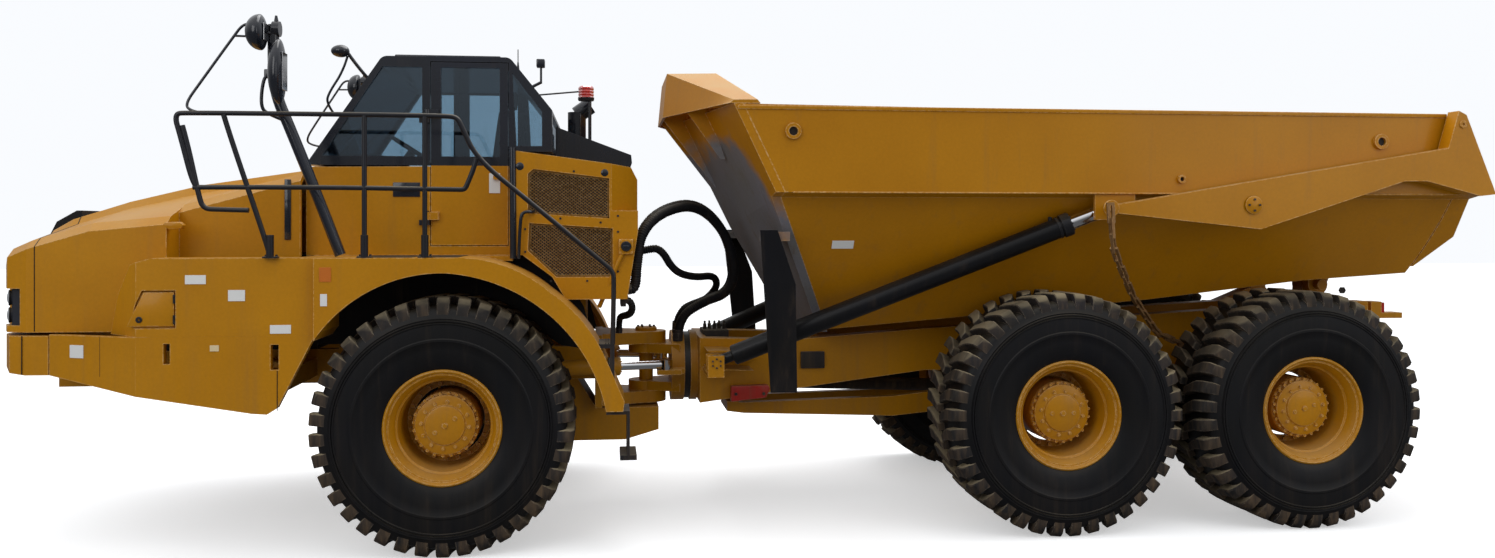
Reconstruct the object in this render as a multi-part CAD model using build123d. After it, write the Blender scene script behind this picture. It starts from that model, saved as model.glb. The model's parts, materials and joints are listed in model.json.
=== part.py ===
from build123d import *
import os
from math import atan2, cos, degrees, hypot, pi, radians, sin, sqrt, tan

# Articulated dump truck: a tractor with a cab, a vertical hitch pin, an oscillating
# rear frame on a four-wheel bogie, and a tipping body with a scissor tailgate.
# Millimetres. X runs back from the bumper, Y to the right-hand side, Z up.
# Stations along the truck ("u" in the tables) are measured from the front axle.

# ---------------------------------------------------------------- driving sizes
wheelbase = 4590            # front axle to middle axle
bogie_spacing = 1966        # middle axle to rear axle
front_overhang = 3140
rear_overhang = 1684
track = 2686                # between the wheels' middle planes
tyre_radius = 920
tyre_width = 750
rim_radius = 406
body_half_y = 1650          # the tipping body
lug_depth = 58
lugs_per_side = 34
lug_share = 0.6              # of the pitch, along the tread
lug_slant = 12               # degrees
lug_out, lug_in = 14, 290    # a lug's ends, measured in from the tyre's side
running_gap = 0.3           # between pieces that turn or slide on each other
seat_gap = 0.3              # between pieces that are bolted on, left as a fine joint
overall_length = front_overhang + wheelbase + bogie_spacing + rear_overhang
front_axle_x = front_overhang - overall_length / 2

axle_height = tyre_radius
wheel_stations = {"front": 0, "mid": wheelbase, "rear": wheelbase + bogie_spacing}
sides = {"left": -1, "right": 1}

# ---------------------------------------------------------------- plain helpers


def side_plate(outline, y_from, y_to):
    """A plate with its outline seen from the side, between two widths."""
    face = Plane.XZ * Polygon(*outline, align=None)
    return Pos(0, y_to, 0) * extrude(face, y_to - y_from, dir=(0, -1, 0))


def plan_plate(outline, z_from, z_to):
    """A plate with its outline seen from above, between two heights."""
    face = Polygon(*outline, align=None)
    return Pos(0, 0, z_from) * extrude(face, z_to - z_from, dir=(0, 0, 1))


def cross_plate(outline, u_from, u_to):
    """A plate with its outline seen along the truck, between two stations."""
    face = Plane.YZ * Polygon(*outline, align=None)
    return Pos(u_from, 0, 0) * extrude(face, u_to - u_from, dir=(1, 0, 0))


def curved_plate(edges, y_from, y_to):
    """A plate between two widths whose outline is a closed run of lines and arcs."""
    face = Plane.XZ * make_face(edges)
    return Pos(0, y_to, 0) * extrude(face, y_to - y_from, dir=(0, -1, 0))


def line_run(*points):
    """Straight edges from point to point."""
    return [Line(a, b) for a, b in zip(points, points[1:])]


def rounded_plate(outline, corners, y_from, y_to):
    """A plate seen from the side with some corners rounded: {corner number: radius}."""
    face = Polygon(*outline, align=None)
    for number, radius in corners.items():
        u, z = outline[number]
        corner = face.vertices().sort_by_distance((u, z, 0))[0]
        face = fillet(corner, radius)
    return Pos(0, y_to, 0) * extrude(Plane.XZ * face, y_to - y_from, dir=(0, -1, 0))


def block(u_from, u_to, y_from, y_to, z_from, z_to):
    box = Box(u_to - u_from, y_to - y_from, z_to - z_from)
    return Pos((u_from + u_to) / 2, (y_from + y_to) / 2, (z_from + z_to) / 2) * box


def line_frame(start, end):
    """A plane at start whose Z runs towards end."""
    return Plane(origin=start, z_dir=Vector(*end) - Vector(*start))


def bar(start, end, radius):
    """A round bar between two points."""
    length = (Vector(*end) - Vector(*start)).length
    upright = (Align.CENTER, Align.CENTER, Align.MIN)
    return line_frame(start, end) * Cylinder(radius, length, align=upright)


def bent_tube(points, radius, bend):
    """A round tube along straight runs joined by arcs."""
    path = FilletPolyline(*points, radius=bend)
    start = Plane(origin=path @ 0, z_dir=path % 0)
    return sweep(start * Circle(radius), path=path)


def mirrored(shape):
    return mirror(shape, about=Plane.XZ)


def both(shape):
    """The left-hand piece and its right-hand twin."""
    return [shape, mirrored(shape)]


def fused(shapes):
    """One solid out of pieces that overlap or share a face."""
    result = shapes[0]
    for shape in shapes[1:]:
        result = result + shape
    return result


def save(node, shapes):
    """Write one node's solids, moved from the front axle to the truck's middle."""
    solids = []
    for shape in shapes:
        solids += list(shape.solids())
    placed = Compound(children=[Pos(front_axle_x, 0, 0) * solid for solid in solids])
    export_step(placed, f"parts/{node}.step")


def inset(points, distance):
    """The same outline with every side moved inwards (points anticlockwise)."""
    lines = []
    count = len(points)
    for i, (x0, z0) in enumerate(points):
        x1, z1 = points[(i + 1) % count]
        length = hypot(x1 - x0, z1 - z0)
        nx, nz = -(z1 - z0) / length, (x1 - x0) / length
        lines.append((x0 + nx * distance, z0 + nz * distance, x1 - x0, z1 - z0))
    result = []
    for i in range(count):
        ax, az, adx, adz = lines[i - 1]
        bx, bz, bdx, bdz = lines[i]
        t = ((bx - ax) * bdz - (bz - az) * bdx) / (adx * bdz - adz * bdx)
        result.append((ax + adx * t, az + adz * t))
    return result


# ---------------------------------------------------------------- wheels
spindle_radius = 120
spindle_inner_y = 950        # axle tube ends, spindle starts
hub_face_y = 1560            # outer face of the planetary hub
rim_half_width = 330
rim_wall = 22
hub_radius = 235
disc_y = 1300                # where the rim's disc meets the hub


def rim_solid():
    """A wheel turned round its own axis, for a wheel on the right-hand side."""
    centre = track / 2
    outer = centre + rim_half_width
    inner = centre - rim_half_width
    well = rim_radius - 42
    profile = [
        (spindle_radius + running_gap, spindle_inner_y + 40),
        (hub_radius - 20, spindle_inner_y + 40),
        (hub_radius - 20, disc_y - 40),
        (well - rim_wall, disc_y - 40),
        (well - rim_wall, inner),
        (rim_radius, inner),
        (rim_radius, inner + 24),
        (well, inner + 60),
        (well, outer - 60),
        (rim_radius, outer - 24),
        (rim_radius, outer),
        (well - rim_wall, outer),
        (well - rim_wall - 14, outer - 70),
        (well - rim_wall - 14, disc_y),
        (hub_radius, disc_y),
        (hub_radius, hub_face_y - 40),
        (hub_radius - 30, hub_face_y - 12),
        (hub_radius - 60, hub_face_y - 12),
        (hub_radius - 66, hub_face_y),
        (0, hub_face_y),
        (0, spindle_inner_y + 320 + running_gap),
        (spindle_radius + running_gap, spindle_inner_y + 320 + running_gap),
    ]
    return turned(profile)


def turned(profile):
    """A solid turned round the Y axis from (radius, y) points."""
    face = Plane.XY * Polygon(*profile, align=None)
    return revolve(face, axis=Axis.Y, revolution_arc=360)


def tyre_solid():
    """A tyre's closed ring round the rim, for a wheel on the right-hand side."""
    centre = track / 2
    half = tyre_width / 2
    bead = rim_radius - 42 + seat_gap
    ledge = rim_radius + seat_gap
    rim_edge = rim_half_width - 24 - 2 * seat_gap
    profile = [
        (bead, -rim_edge + 36), (ledge, -rim_edge), (ledge, -rim_half_width - 20),
        (ledge + 60, -half + 12), (ledge + 200, -half), (tyre_radius - 190, -half + 4),
        (tyre_radius - 100, -half + 24), (tyre_radius - lug_depth, -half + 70),
    ]
    profile += [(radius, -y) for radius, y in reversed(profile)]
    carcass = turned([(radius, centre + y) for radius, y in profile])
    lugs = [tread_lug(side, turn) for side in (-1, 1) for turn in range(lugs_per_side)]
    return carcass + lugs


def tread_lug(side, turn):
    """One block of the tread, from the shoulder towards the middle, slanted."""
    half = tyre_width / 2
    middle = side * (half - (lug_out + lug_in) / 2)
    block_width = lug_share * 2 * pi * tyre_radius / lugs_per_side
    reach = block_width / 2 + (lug_in - lug_out) / 2 * sin(radians(lug_slant))
    top = sqrt(tyre_radius ** 2 - reach ** 2)
    outline = [(side * (half - lug_out) - middle, tyre_radius - 125),
               (side * (half - lug_out - 46) - middle, top),
               (side * (half - lug_in) - middle, top),
               (side * (half - lug_in) - middle, tyre_radius - 90)]
    face = Plane.YZ * Polygon(*outline, align=None)
    tooth = Pos(-block_width / 2, 0, 0) * extrude(face, block_width, dir=(1, 0, 0))
    angle = 360 / lugs_per_side * (turn + side * 0.25)
    place = Pos(0, track / 2 + middle, 0) * Rot(0, angle, 0) * Rot(0, 0, side * lug_slant)
    return place * tooth


def wheel_pieces():
    rim, tyre = rim_solid(), tyre_solid()
    for axle, station in wheel_stations.items():
        for side, sign in sides.items():
            place = Pos(station, 0, axle_height)
            for kind, shape in (("rim", rim), ("tyre", tyre)):
                solid = place * (shape if sign > 0 else mirrored(shape))
                save(f"{kind}_{axle}_{side}", [solid])


# ---------------------------------------------------------------- axles
axle_tube_radius = 150
differential_radius = 250


def axle_solid(station):
    """A drive axle: tube, differential and the spindles that carry the hubs."""
    centre = (station, 0, axle_height)
    tube = Pos(*centre) * Rot(90, 0, 0) * Cylinder(axle_tube_radius, 2 * spindle_inner_y)
    spindle = Pos(*centre) * Rot(90, 0, 0) * Cylinder(spindle_radius, 2 * (spindle_inner_y + 320))
    case = Pos(*centre) * Sphere(differential_radius)
    flange = Pos(*centre) * Rot(90, 0, 0) * Cylinder(hub_radius - 30, 2 * spindle_inner_y + 70)
    slot = Pos(*centre) * Rot(90, 0, 0) * Cylinder(hub_radius, 2 * spindle_inner_y - 60)
    return tube + spindle + case + (flange - slot)


# ---------------------------------------------------------------- tractor frame
bumper_wall = 50
frame_inner_y = 300
frame_outer_y = 400
frame_low_z = 1090
frame_high_z = 1360
frame_rear_u = 1050
bulkhead_wall = 60
bulkhead_half_y = 415        # clear of the swinging steering barrels
pin_u = 1483                 # the vertical hitch pin
pin_radius = 60
lug_radius = 170
lug_half_y = 260
lug_wall = 100
upper_lug_top = 1448
lower_lug_low = 850
post_stations = (-930, 330)  # cab mounts
radiator_low_z = 1790
tower_y = 560                # suspension strut
strut_radius = 70
panel_top_z = 1580
panel_wall = 60
panel_outer_y = 1650


def lug(z_low, reach, radius, half_y, u_from):
    """A flat lug that ends in a round boss at the hitch pin."""
    shank = plan_plate(
        [(u_from, -half_y - 60), (reach, -radius), (reach, radius), (u_from, half_y + 60)],
        z_low, z_low + lug_wall,
    )
    return shank + Pos(reach, 0, z_low + lug_wall / 2) * Cylinder(radius, lug_wall)


def outrigger(u_from, u_to, z_from, z_to):
    """The arm that carries the side panels out from the frame."""
    return block(u_from, u_to, frame_outer_y, panel_outer_y - panel_wall - seat_gap, z_from, z_to)


outrigger_spans = ((-1500, -1400), (-1250, -1150))


def front_frame():
    rail = block(-front_overhang + bumper_wall + seat_gap, frame_rear_u,
                 frame_inner_y, frame_outer_y, frame_low_z, frame_high_z)
    half = [rail]
    for u in post_stations:
        half.append(block(u - 50, u + 50, frame_inner_y, frame_outer_y,
                          frame_high_z, deck_z))
    half.append(block(880, 980, frame_inner_y, frame_outer_y,
                      frame_high_z, radiator_low_z - seat_gap))
    half.append(block(-90, 90, frame_outer_y, tower_y + 90, 1580, 1640))
    half.append(block(-90, 90, frame_inner_y + 40, frame_outer_y + 20, frame_high_z, 1640))
    for u_from, u_to in outrigger_spans:
        half.append(outrigger(u_from, u_to, 1150, 1290))
    pieces = half + [mirrored(piece) for piece in half]
    for u in (-2650, -1000, 760):
        pieces.append(block(u, u + 120, -frame_inner_y, frame_inner_y, 1120, 1330))
    bulkhead = block(frame_rear_u, frame_rear_u + bulkhead_wall, -bulkhead_half_y,
                     bulkhead_half_y, lower_lug_low, upper_lug_top)
    pieces.append(bulkhead)
    lug_from = frame_rear_u + bulkhead_wall
    pieces.append(lug(upper_lug_top - lug_wall, pin_u, lug_radius, lug_half_y, lug_from))
    pieces.append(lug(lower_lug_low, pin_u, lug_radius, lug_half_y, lug_from))
    pieces.append(Pos(pin_u, 0, (upper_lug_top + lower_lug_low) / 2)
                  * Cylinder(pin_radius, upper_lug_top - lower_lug_low + 40))
    guard = side_plate([(360, 640), (560, 560), (1300, 560), (1580, 640), (1580, 830),
                        (1060, 830), (900, 1090), (700, 1090), (560, 700)], -270, 270)
    pieces.append(guard)
    pieces.append(block(frame_rear_u + 10, lug_from, -270, 270, 825, lower_lug_low))
    return fused(pieces)


def front_axle():
    axle = axle_solid(0)
    pads = [block(-110, 110, y - 45, y + 45, axle_height, frame_low_z - seat_gap)
            for y in (-350, 350)]
    struts = []
    for y in (-tower_y, tower_y):
        low = axle_height + 100
        struts.append(Pos(0, y, (low + 1400) / 2) * Cylinder(strut_radius, 1400 - low))
        struts.append(Pos(0, y, (1400 + 1580 - seat_gap) / 2)
                      * Cylinder(strut_radius - 25, 1580 - seat_gap - 1400))
    return fused([axle] + pads + struts)


def engine():
    return block(-2450, -1150, -390, 390, frame_high_z + seat_gap, 2120)


# ---------------------------------------------------------------- bumper and panels
bumper_low_z = 1293
bumper_corner_y = 1340
bumper_side_u = -2746


def bumper():
    outer = [(bumper_side_u, -bumper_corner_y), (-3010, -bumper_corner_y + 16),
             (-front_overhang, -1090), (-front_overhang, 1090),
             (-3010, bumper_corner_y - 16), (bumper_side_u, bumper_corner_y)]
    inner = [(bumper_side_u, -bumper_corner_y + bumper_wall),
             (-2990, -bumper_corner_y + 16 + bumper_wall),
             (-front_overhang + bumper_wall, -1070), (-front_overhang + bumper_wall, 1070),
             (-2990, bumper_corner_y - 16 - bumper_wall),
             (bumper_side_u, bumper_corner_y - bumper_wall)]
    wrap = plan_plate(outer, bumper_low_z, panel_top_z - 10)
    hollow = plan_plate(inner, bumper_low_z - 1, panel_top_z - 60)
    below = side_plate([(-front_overhang - 1, bumper_low_z - 1), (-2900, bumper_low_z - 1),
                        (-front_overhang - 1, bumper_low_z + 40)], -1400, 1400)
    slot = block(-front_overhang, bumper_side_u + 1, -760, 760, panel_top_z - 61, panel_top_z)
    keep = block(-front_overhang, -front_overhang + 110, -760, 760,
                 panel_top_z - 61, panel_top_z - 10)
    ears = []
    for y in hood_hinge_places:
        for side in (-1, 1):
            ear = side_plate(
                [(hood_hinge_u - 18, panel_top_z - 15), (hood_hinge_u + 60, panel_top_z - 15),
                 (hood_hinge_u + 22, hood_hinge_z + 16), (hood_hinge_u - 18, hood_hinge_z + 16)],
                y + side * 45 - 10, y + side * 45 + 10)
            ears.append(ear)
        ears.append(Pos(hood_hinge_u, y, hood_hinge_z) * Rot(90, 0, 0)
                    * Cylinder(hood_pin_radius, 110))
    return fused([(wrap - hollow - below - slot) + keep] + ears)


skirt_outline = [(-2740, bumper_low_z), (-1290, 1043), (-1190, 1035), (-1120, 1080),
                 (-869, panel_top_z), (-2740, panel_top_z)]
skirt_slots = ((-1869, -1827, 1395, 1534), (-1165, -1111, 1345, 1520))
skirt_flare_u = -2050        # where the panels reach their full width
filler_outline = [(-2130, 1640), (-1790, 1640), (-1790, 1900), (-2010, 1900)]
side_panel_low = panel_top_z + seat_gap
deck_z = 2120
deck_wall = 40
split_u = -869               # joint between side panel and fender
panel_inner_y = 1345


def side_panels():
    """Lower skirt and the flared panel above it, on each side."""
    plan = [(-2740, -bumper_corner_y), (skirt_flare_u, -panel_outer_y),
            (split_u, -panel_outer_y), (split_u, -panel_outer_y + panel_wall),
            (skirt_flare_u + 12, -panel_outer_y + panel_wall),
            (-2740, -bumper_corner_y + panel_wall)]
    skirt = side_plate(skirt_outline, -1800, 0) & plan_plate(plan, 1000, 1600)
    brace = block(-1500, -1150, -panel_outer_y + panel_wall - 1, -1000, 1290 + seat_gap, 1330)
    skirt = skirt + brace
    for u_from, u_to, z_from, z_to in skirt_slots:
        skirt = skirt - block(u_from, u_to, -1800, -panel_outer_y + panel_wall + 1, z_from, z_to)
    outline = [(-2330, side_panel_low), (split_u, side_panel_low), (split_u, deck_z),
               (-1955, deck_z), (-2116, 2075), (-2250, 1860)]
    flare = [(-2332, -panel_inner_y), (skirt_flare_u, -panel_outer_y + 4),
             (-1960, -panel_outer_y), (split_u, -panel_outer_y), (split_u, -panel_inner_y)]
    panel = side_plate(outline, -1800, 0) & plan_plate(flare, 1500, 2200)
    recess = side_plate(filler_outline, -panel_outer_y - 5, -panel_outer_y + 30)
    panel = panel - recess
    return both(skirt) + both(panel)


# ---------------------------------------------------------------- fenders and deck
fender_outer_y = 1700
fender_inner_y = 1120
fender_wall = 40
fender_flat_u = 117          # the top is level up to here
fender_tail = ((1141, 1391), (1272, 1088), (1262, 1017), (1141, 1017))
arch_crown = (30, 2010)
cab_half_y = 950


def fender():
    """Curved guard over the wheel: outer face and top skin, open below."""
    front_u = split_u + seat_gap
    edges = line_run((front_u, 1545), (front_u, deck_z), (fender_flat_u, deck_z))
    edges += [ThreePointArc((fender_flat_u, deck_z), (462, 2050), (738, 1881)),
              ThreePointArc((738, 1881), (982, 1655), fender_tail[0])]
    edges += line_run(*fender_tail)
    edges += [ThreePointArc(fender_tail[3], (700, 1745), arch_crown),
              ThreePointArc(arch_crown, (-500, 1885), (front_u, 1545))]
    solid = curved_plate(edges, -fender_outer_y, -fender_inner_y)
    low = deck_z - fender_wall
    inner = line_run((fender_tail[0][0] - 38, fender_tail[0][1] - 15), (1226, 1085), (1216, 1000),
                     (1000, 900), (-600, 900), (split_u + 45, 1400), (split_u + 45, low),
                     (fender_flat_u, low))
    inner += [ThreePointArc((fender_flat_u, low), (447, 2012), (712, 1849)),
              ThreePointArc((712, 1849), (951, 1629), (fender_tail[0][0] - 38, fender_tail[0][1] - 15))]
    hollow = curved_plate(inner, -fender_outer_y + fender_wall, -fender_inner_y + 1)
    deck = block(-1035, 440, -fender_inner_y, -cab_half_y - seat_gap, deck_z - deck_wall, deck_z)
    front_deck = block(-1035, split_u, -panel_inner_y + seat_gap, -fender_inner_y,
                       deck_z - deck_wall, deck_z)
    housing = side_plate(inset(housing_outline, -seat_gap), -radiator_half_y - seat_gap, 0)
    return (solid - hollow - housing) + deck + front_deck


# ---------------------------------------------------------------- hood
hood_low_z = 1592
hood_wall = 40
hood_hinge_u = -3105
hood_hinge_z = 1612
hood_pin_radius = 14
hood_hinge_places = (-600, 600)
# station, half width, low z of the crown, shoulder (y, z), spine (y, z), middle z
hood_sections = (
    (-3128, 1120, 2060, 600, 2190, 540, 2215, 2235),
    (-3060, 1250, 2120, 610, 2270, 550, 2310, 2330),
    (-2910, 1300, 2180, 620, 2340, 570, 2395, 2420),
    (-2490, 1320, 2305, 635, 2470, 585, 2530, 2555),
    (-1960, 1338, 2355, 650, 2590, 600, 2660, 2685),
)
cowl_sections = (
    (-1960, 1090, 2440, 650, 2590, 600, 2660, 2685),
    (-1115, 1060, 2680, 650, 2748, 600, 2788, 2808),
)


def hood_face(section, wall, low_z):
    u, half, crown_z, shoulder_y, shoulder_z, spine_y, spine_z, top_z = section
    points = [(half - wall, low_z), (half - wall, crown_z - wall * 0.6),
              (half - 90 - wall * 0.4, crown_z + 60 - wall), (shoulder_y, shoulder_z - wall),
              (spine_y, spine_z - wall), (0, top_z - wall)]
    points += [(-y, z) for y, z in reversed(points[:-1])]
    return Pos(u, 0, 0) * (Plane.YZ * Polygon(*points, align=None))


def hood_loft(sections, wall, low_z):
    return loft([hood_face(section, wall, low_z) for section in sections], ruled=True)


def shifted(section, move):
    return (section[0] + move,) + section[1:]


def hood():
    front = hood_loft(hood_sections, 0, hood_low_z)
    rear = hood_loft(cowl_sections, 0, hood_low_z)
    inner_front = [shifted(hood_sections[1], 0)] + list(hood_sections[2:-1])
    inner_front.append(shifted(hood_sections[-1], -hood_wall))
    hollow_front = hood_loft(inner_front, hood_wall, hood_low_z - 10)
    hollow_rear = hood_loft([shifted(cowl_sections[0], -hood_wall - 5),
                             shifted(cowl_sections[1], 10)], hood_wall, hood_low_z - 10)
    shell = front + rear - hollow_front - hollow_rear
    lugs = []
    for y in hood_hinge_places:
        arm = side_plate([(hood_hinge_u - 16, hood_hinge_z - 16),
                          (hood_hinge_u + 90, hood_hinge_z - 16),
                          (hood_hinge_u + 90, hood_hinge_z + 60),
                          (hood_hinge_u - 16, hood_hinge_z + 60)], y - 30, y + 30)
        lugs.append(arm - Pos(hood_hinge_u, y, hood_hinge_z) * Rot(90, 0, 0)
                    * Cylinder(hood_pin_radius + running_gap, 200))
    pockets = []
    for y in hood_hinge_places:
        pockets.append(block(hood_hinge_u - 60, hood_hinge_u + 95, y - 62, y + 62,
                             hood_low_z - 20, hood_hinge_z + 40))
    for pocket in pockets + both(lamp_pocket(0)):
        shell = shell - pocket
    return fused([shell] + lugs)


lamp_u = (-3140, -2960)      # the headlamps' recess round each front corner
lamp_y = (-1320, -1070)
lamp_z = (1640, 1900)
lamp_depth = 30
lamp_radius = 52


def lamp_pocket(gap):
    return block(lamp_u[0] + gap, lamp_u[1] - gap, lamp_y[0] + gap, lamp_y[1] - gap,
                 lamp_z[0] + gap, lamp_z[1] - gap)


def headlamp():
    """Left-hand lamp housing, set back in the hood's corner, with two round lamps."""
    set_back = [(section[0] + lamp_depth, section[1] - lamp_depth / 2) + section[2:]
                for section in hood_sections[:3]]
    housing = lamp_pocket(seat_gap) & hood_loft(set_back, 0, hood_low_z)
    (u_a, y_a), (u_b, y_b) = [(section[0], -section[1]) for section in set_back[:2]]
    face = Vector(-abs(y_b - y_a), -abs(u_b - u_a), 0).normalized()
    lamps = []
    for z in (lamp_z[0] + 68, lamp_z[1] - 68):
        middle = Vector((u_a + u_b) / 2, (y_a + y_b) / 2, z)
        start, end = middle - face * 10, middle + face * 14
        lamps.append(bar((start.X, start.Y, start.Z), (end.X, end.Y, end.Z), lamp_radius))
    return fused([housing] + lamps)


def hood_pod():
    """The black air intake on top of the nose."""
    profile = [(-3127, 2180), (-3127, 2262), (-3070, 2378), (-2925, 2464), (-2885, 2464),
               (-2885, 2300)]
    solid = side_plate(profile, -480, 480)
    return solid - hood_loft(hood_sections, -seat_gap, hood_low_z)


# ---------------------------------------------------------------- cab
cab_front_u = -1100
cab_rear_u = 440
cab_wall = 50
sill_z = 2805                # where the yellow shell ends and the black frame starts
cab_top_z = 3640
door_front_u = -184
door_rear_u = 393
door_gap = 6
door_low_z = 2190
pillar = 75


def cab_base():
    """The yellow lower shell: floor, walls and the open doorway on the left."""
    outline = [(cab_front_u, deck_z + seat_gap), (cab_rear_u, deck_z + seat_gap),
               (cab_rear_u, sill_z), (cab_front_u, sill_z - 15)]
    outer = side_plate(outline, -cab_half_y, cab_half_y)
    room = block(cab_front_u + cab_wall, cab_rear_u - cab_wall, -cab_half_y + cab_wall,
                 cab_half_y - cab_wall, deck_z + 60, sill_z + 1)
    doorway = block(door_front_u - door_gap, door_rear_u + door_gap, -cab_half_y - 1,
                    -cab_half_y + cab_wall + 1, door_low_z, sill_z + 1)
    return outer - room - doorway


window_top_z = cab_top_z - 85
headrest_top_z = cab_top_z - 160       # head room over the seat
backrest_top_z = headrest_top_z - 150
seat_z = 2560                          # the cushion's underside
armrest_z = 2860
screen_top_z = cab_top_z - 100
door_top_z = cab_top_z - 46
front_window = [(-985, 2875), (-250, 2875), (-250, window_top_z), (-545, window_top_z)]
door_window = [(-110, 2875), (330, 2875), (330, window_top_z), (-110, window_top_z)]
rear_quarter = [(455, 2960), (650, 2960), (650, 3225), (425, cab_top_z - 120)]
roof_corner = 70             # radius of the roof's front and rear corners


def cab_frame():
    """The black safety frame: posts, roof and sills round the windows."""
    outline = [(-1105, sill_z + seat_gap), (cab_rear_u, sill_z + seat_gap),
               (cab_rear_u, sill_z + 112), (727, sill_z + 112), (727, 3240),
               (405, cab_top_z), (-545, cab_top_z - 4)]
    outer = rounded_plate(outline, {5: roof_corner, 6: roof_corner}, -cab_half_y, cab_half_y)
    ceiling_z = cab_top_z - 75
    room = side_plate([(-1010, sill_z), (cab_rear_u - 50, sill_z), (cab_rear_u - 50, 2960),
                       (650, 2960), (650, 3215), (375, ceiling_z), (-500, ceiling_z)],
                      -cab_half_y + cab_wall, cab_half_y - cab_wall)
    shell = outer - room
    for window in (front_window, rear_quarter):
        shell = shell - side_plate(window, -cab_half_y - 1, cab_half_y + 1)
    shell = shell - side_plate(door_window, 0, cab_half_y + 1)
    doorway = block(door_front_u - door_gap, door_rear_u + door_gap, -cab_half_y - 1,
                    -cab_half_y + cab_wall + 1, sill_z - 1, door_top_z + door_gap)
    shell = shell - doorway
    windscreen = side_plate([(-1200, 2890), (-900, 2890), (-500, screen_top_z),
                             (-800, screen_top_z)],
                            -cab_half_y + pillar, cab_half_y - pillar)
    rear_window = side_plate([(640, 2975), (760, 2975), (760, 3215), (640, 3215)],
                             -cab_half_y + 110, cab_half_y - 110)
    return shell - windscreen - rear_window


glass = 8


def cab_glass():
    """Panes that fill the openings, a hair smaller than each."""
    panes = []
    for window in (front_window, rear_quarter):
        pane = side_plate(inset(window, seat_gap), -cab_half_y + 18, -cab_half_y + 18 + glass)
        panes += both(pane)
    panes.append(side_plate(inset(door_window, seat_gap), cab_half_y - 18 - glass, cab_half_y - 18))
    low, high = 2890 + seat_gap, screen_top_z - seat_gap
    screen = [(-1020, low), (-1008, low), (-570, high), (-582, high)]
    panes.append(side_plate(screen, -cab_half_y + pillar + seat_gap, cab_half_y - pillar - seat_gap))
    panes.append(block(700, 708, -cab_half_y + 110 + seat_gap, cab_half_y - 110 - seat_gap,
                       2975 + seat_gap, 3215 - seat_gap))
    return panes


hinge_pin_radius = 12
door_hinge_u = door_front_u - 24
door_hinge_y = -cab_half_y - 24


def door_knuckle(z, height):
    """One hinge barrel outside the door's front edge."""
    return Pos(door_hinge_u, door_hinge_y, z) * Cylinder(22, height)


def door_shell():
    """The door: a yellow lower panel and a black window frame in one leaf."""
    u_from, u_to = door_front_u, door_rear_u
    leaf = block(u_from, u_to, -cab_half_y, -cab_half_y + cab_wall, door_low_z + door_gap, door_top_z)
    window = side_plate(door_window, -cab_half_y - 1, -cab_half_y + cab_wall + 1)
    leaf = leaf - window
    for z in (2420, 3200):
        arm = block(door_hinge_u, u_from + 60, -cab_half_y - 34, -cab_half_y, z - 30, z + 30)
        leaf = leaf + arm + door_knuckle(z, 60)
        leaf = leaf - Pos(door_hinge_u, door_hinge_y, z) * Cylinder(hinge_pin_radius
                                                                    + running_gap, 100)
    handle = block(u_to - 110, u_to - 60, -cab_half_y - 26, -cab_half_y, 2700, 2730)
    return leaf + handle


def door_glass():
    return side_plate(inset(door_window, seat_gap), -cab_half_y + 18, -cab_half_y + 18 + glass)


def door_hinges():
    """Fixed halves of the door hinges, with their pins, on the cab's side."""
    pieces = []
    for z in (2420, 3200):
        low = door_knuckle(z - 30 - seat_gap - 20, 40)
        pin = Pos(door_hinge_u, door_hinge_y, z - 10) * Cylinder(hinge_pin_radius, 100)
        leg = block(door_hinge_u - 60, door_hinge_u, door_hinge_y - 8, -cab_half_y - seat_gap,
                    z - 70 - seat_gap, z - 30 - seat_gap)
        pieces.append(low + pin + leg)
    return pieces


def cab_interior():
    """Dashboard, steering column and wheel, seat base and armrests."""
    floor = deck_z + 60 + seat_gap
    dash = side_plate([(-960, floor), (-640, floor), (-560, 2750), (-620, 2905), (-930, 2905),
                       (-960, 2840)], -700, 700)
    column = bar((-600, 0, 2780), (-470, 0, 2980), 35)
    axis = Vector(130, 0, 200)
    wheel = Plane(origin=(-470, 0, 2980), z_dir=axis, x_dir=(0, 1, 0)) * Torus(205, 14)
    spoke = Plane(origin=(-470, 0, 2980), z_dir=axis, x_dir=(0, 1, 0)) * Box(400, 30, 12)
    front = fused([dash, column, wheel, spoke])
    base = block(-220, 260, -250, 250, floor, seat_z)
    arms = [block(-160, 230, y - 40, y + 40, seat_z - 100, armrest_z) for y in (-290, 290)]
    console = block(-300, 300, 341, 640, floor, 2760)
    seat = fused([base] + arms)
    return [front, seat, console - seat]


def seat_cushions():
    side_y = 250 - seat_gap
    cushion = block(-230, 250, -side_y, side_y, seat_z + seat_gap, seat_z + 120)
    foot = seat_z + 120 + seat_gap
    back = side_plate([(170, foot), (300, foot), (380, backrest_top_z), (290, backrest_top_z)],
                      -side_y, side_y)
    foot = backrest_top_z + seat_gap
    headrest = side_plate([(305, foot), (385, foot), (400, headrest_top_z),
                           (330, headrest_top_z)], -140, 140)
    return [cushion, back, headrest]


# ---------------------------------------------------------------- radiator housing
radiator_half_y = 1200
radiator_front_u = 450
housing_wall = 50
housing_outline = [(radiator_front_u, 2125), (520, 2125), (740, 1960), (840, radiator_low_z),
                   (1300, radiator_low_z), (1381, 2300), (1381, 2700), (1330, 2795),
                   (radiator_front_u, 2910)]
upper_grille = [(560, 2440), (1165, 2402), (1165, 2703), (600, 2770), (560, 2735)]
lower_grille = [(770, 1960), (1190, 1960), (1190, 2325), (570, 2365), (560, 2160)]
mesh_wall = 12
mesh_rim = 22                # solid border of each pane
mesh_bar = 15                # width of one crossing bar
mesh_pitch = 64
mesh_slope = 38              # degrees


corner_cut = (200, 186)      # along and across, so that the body swings past
corner_low_z = 2460


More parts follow.
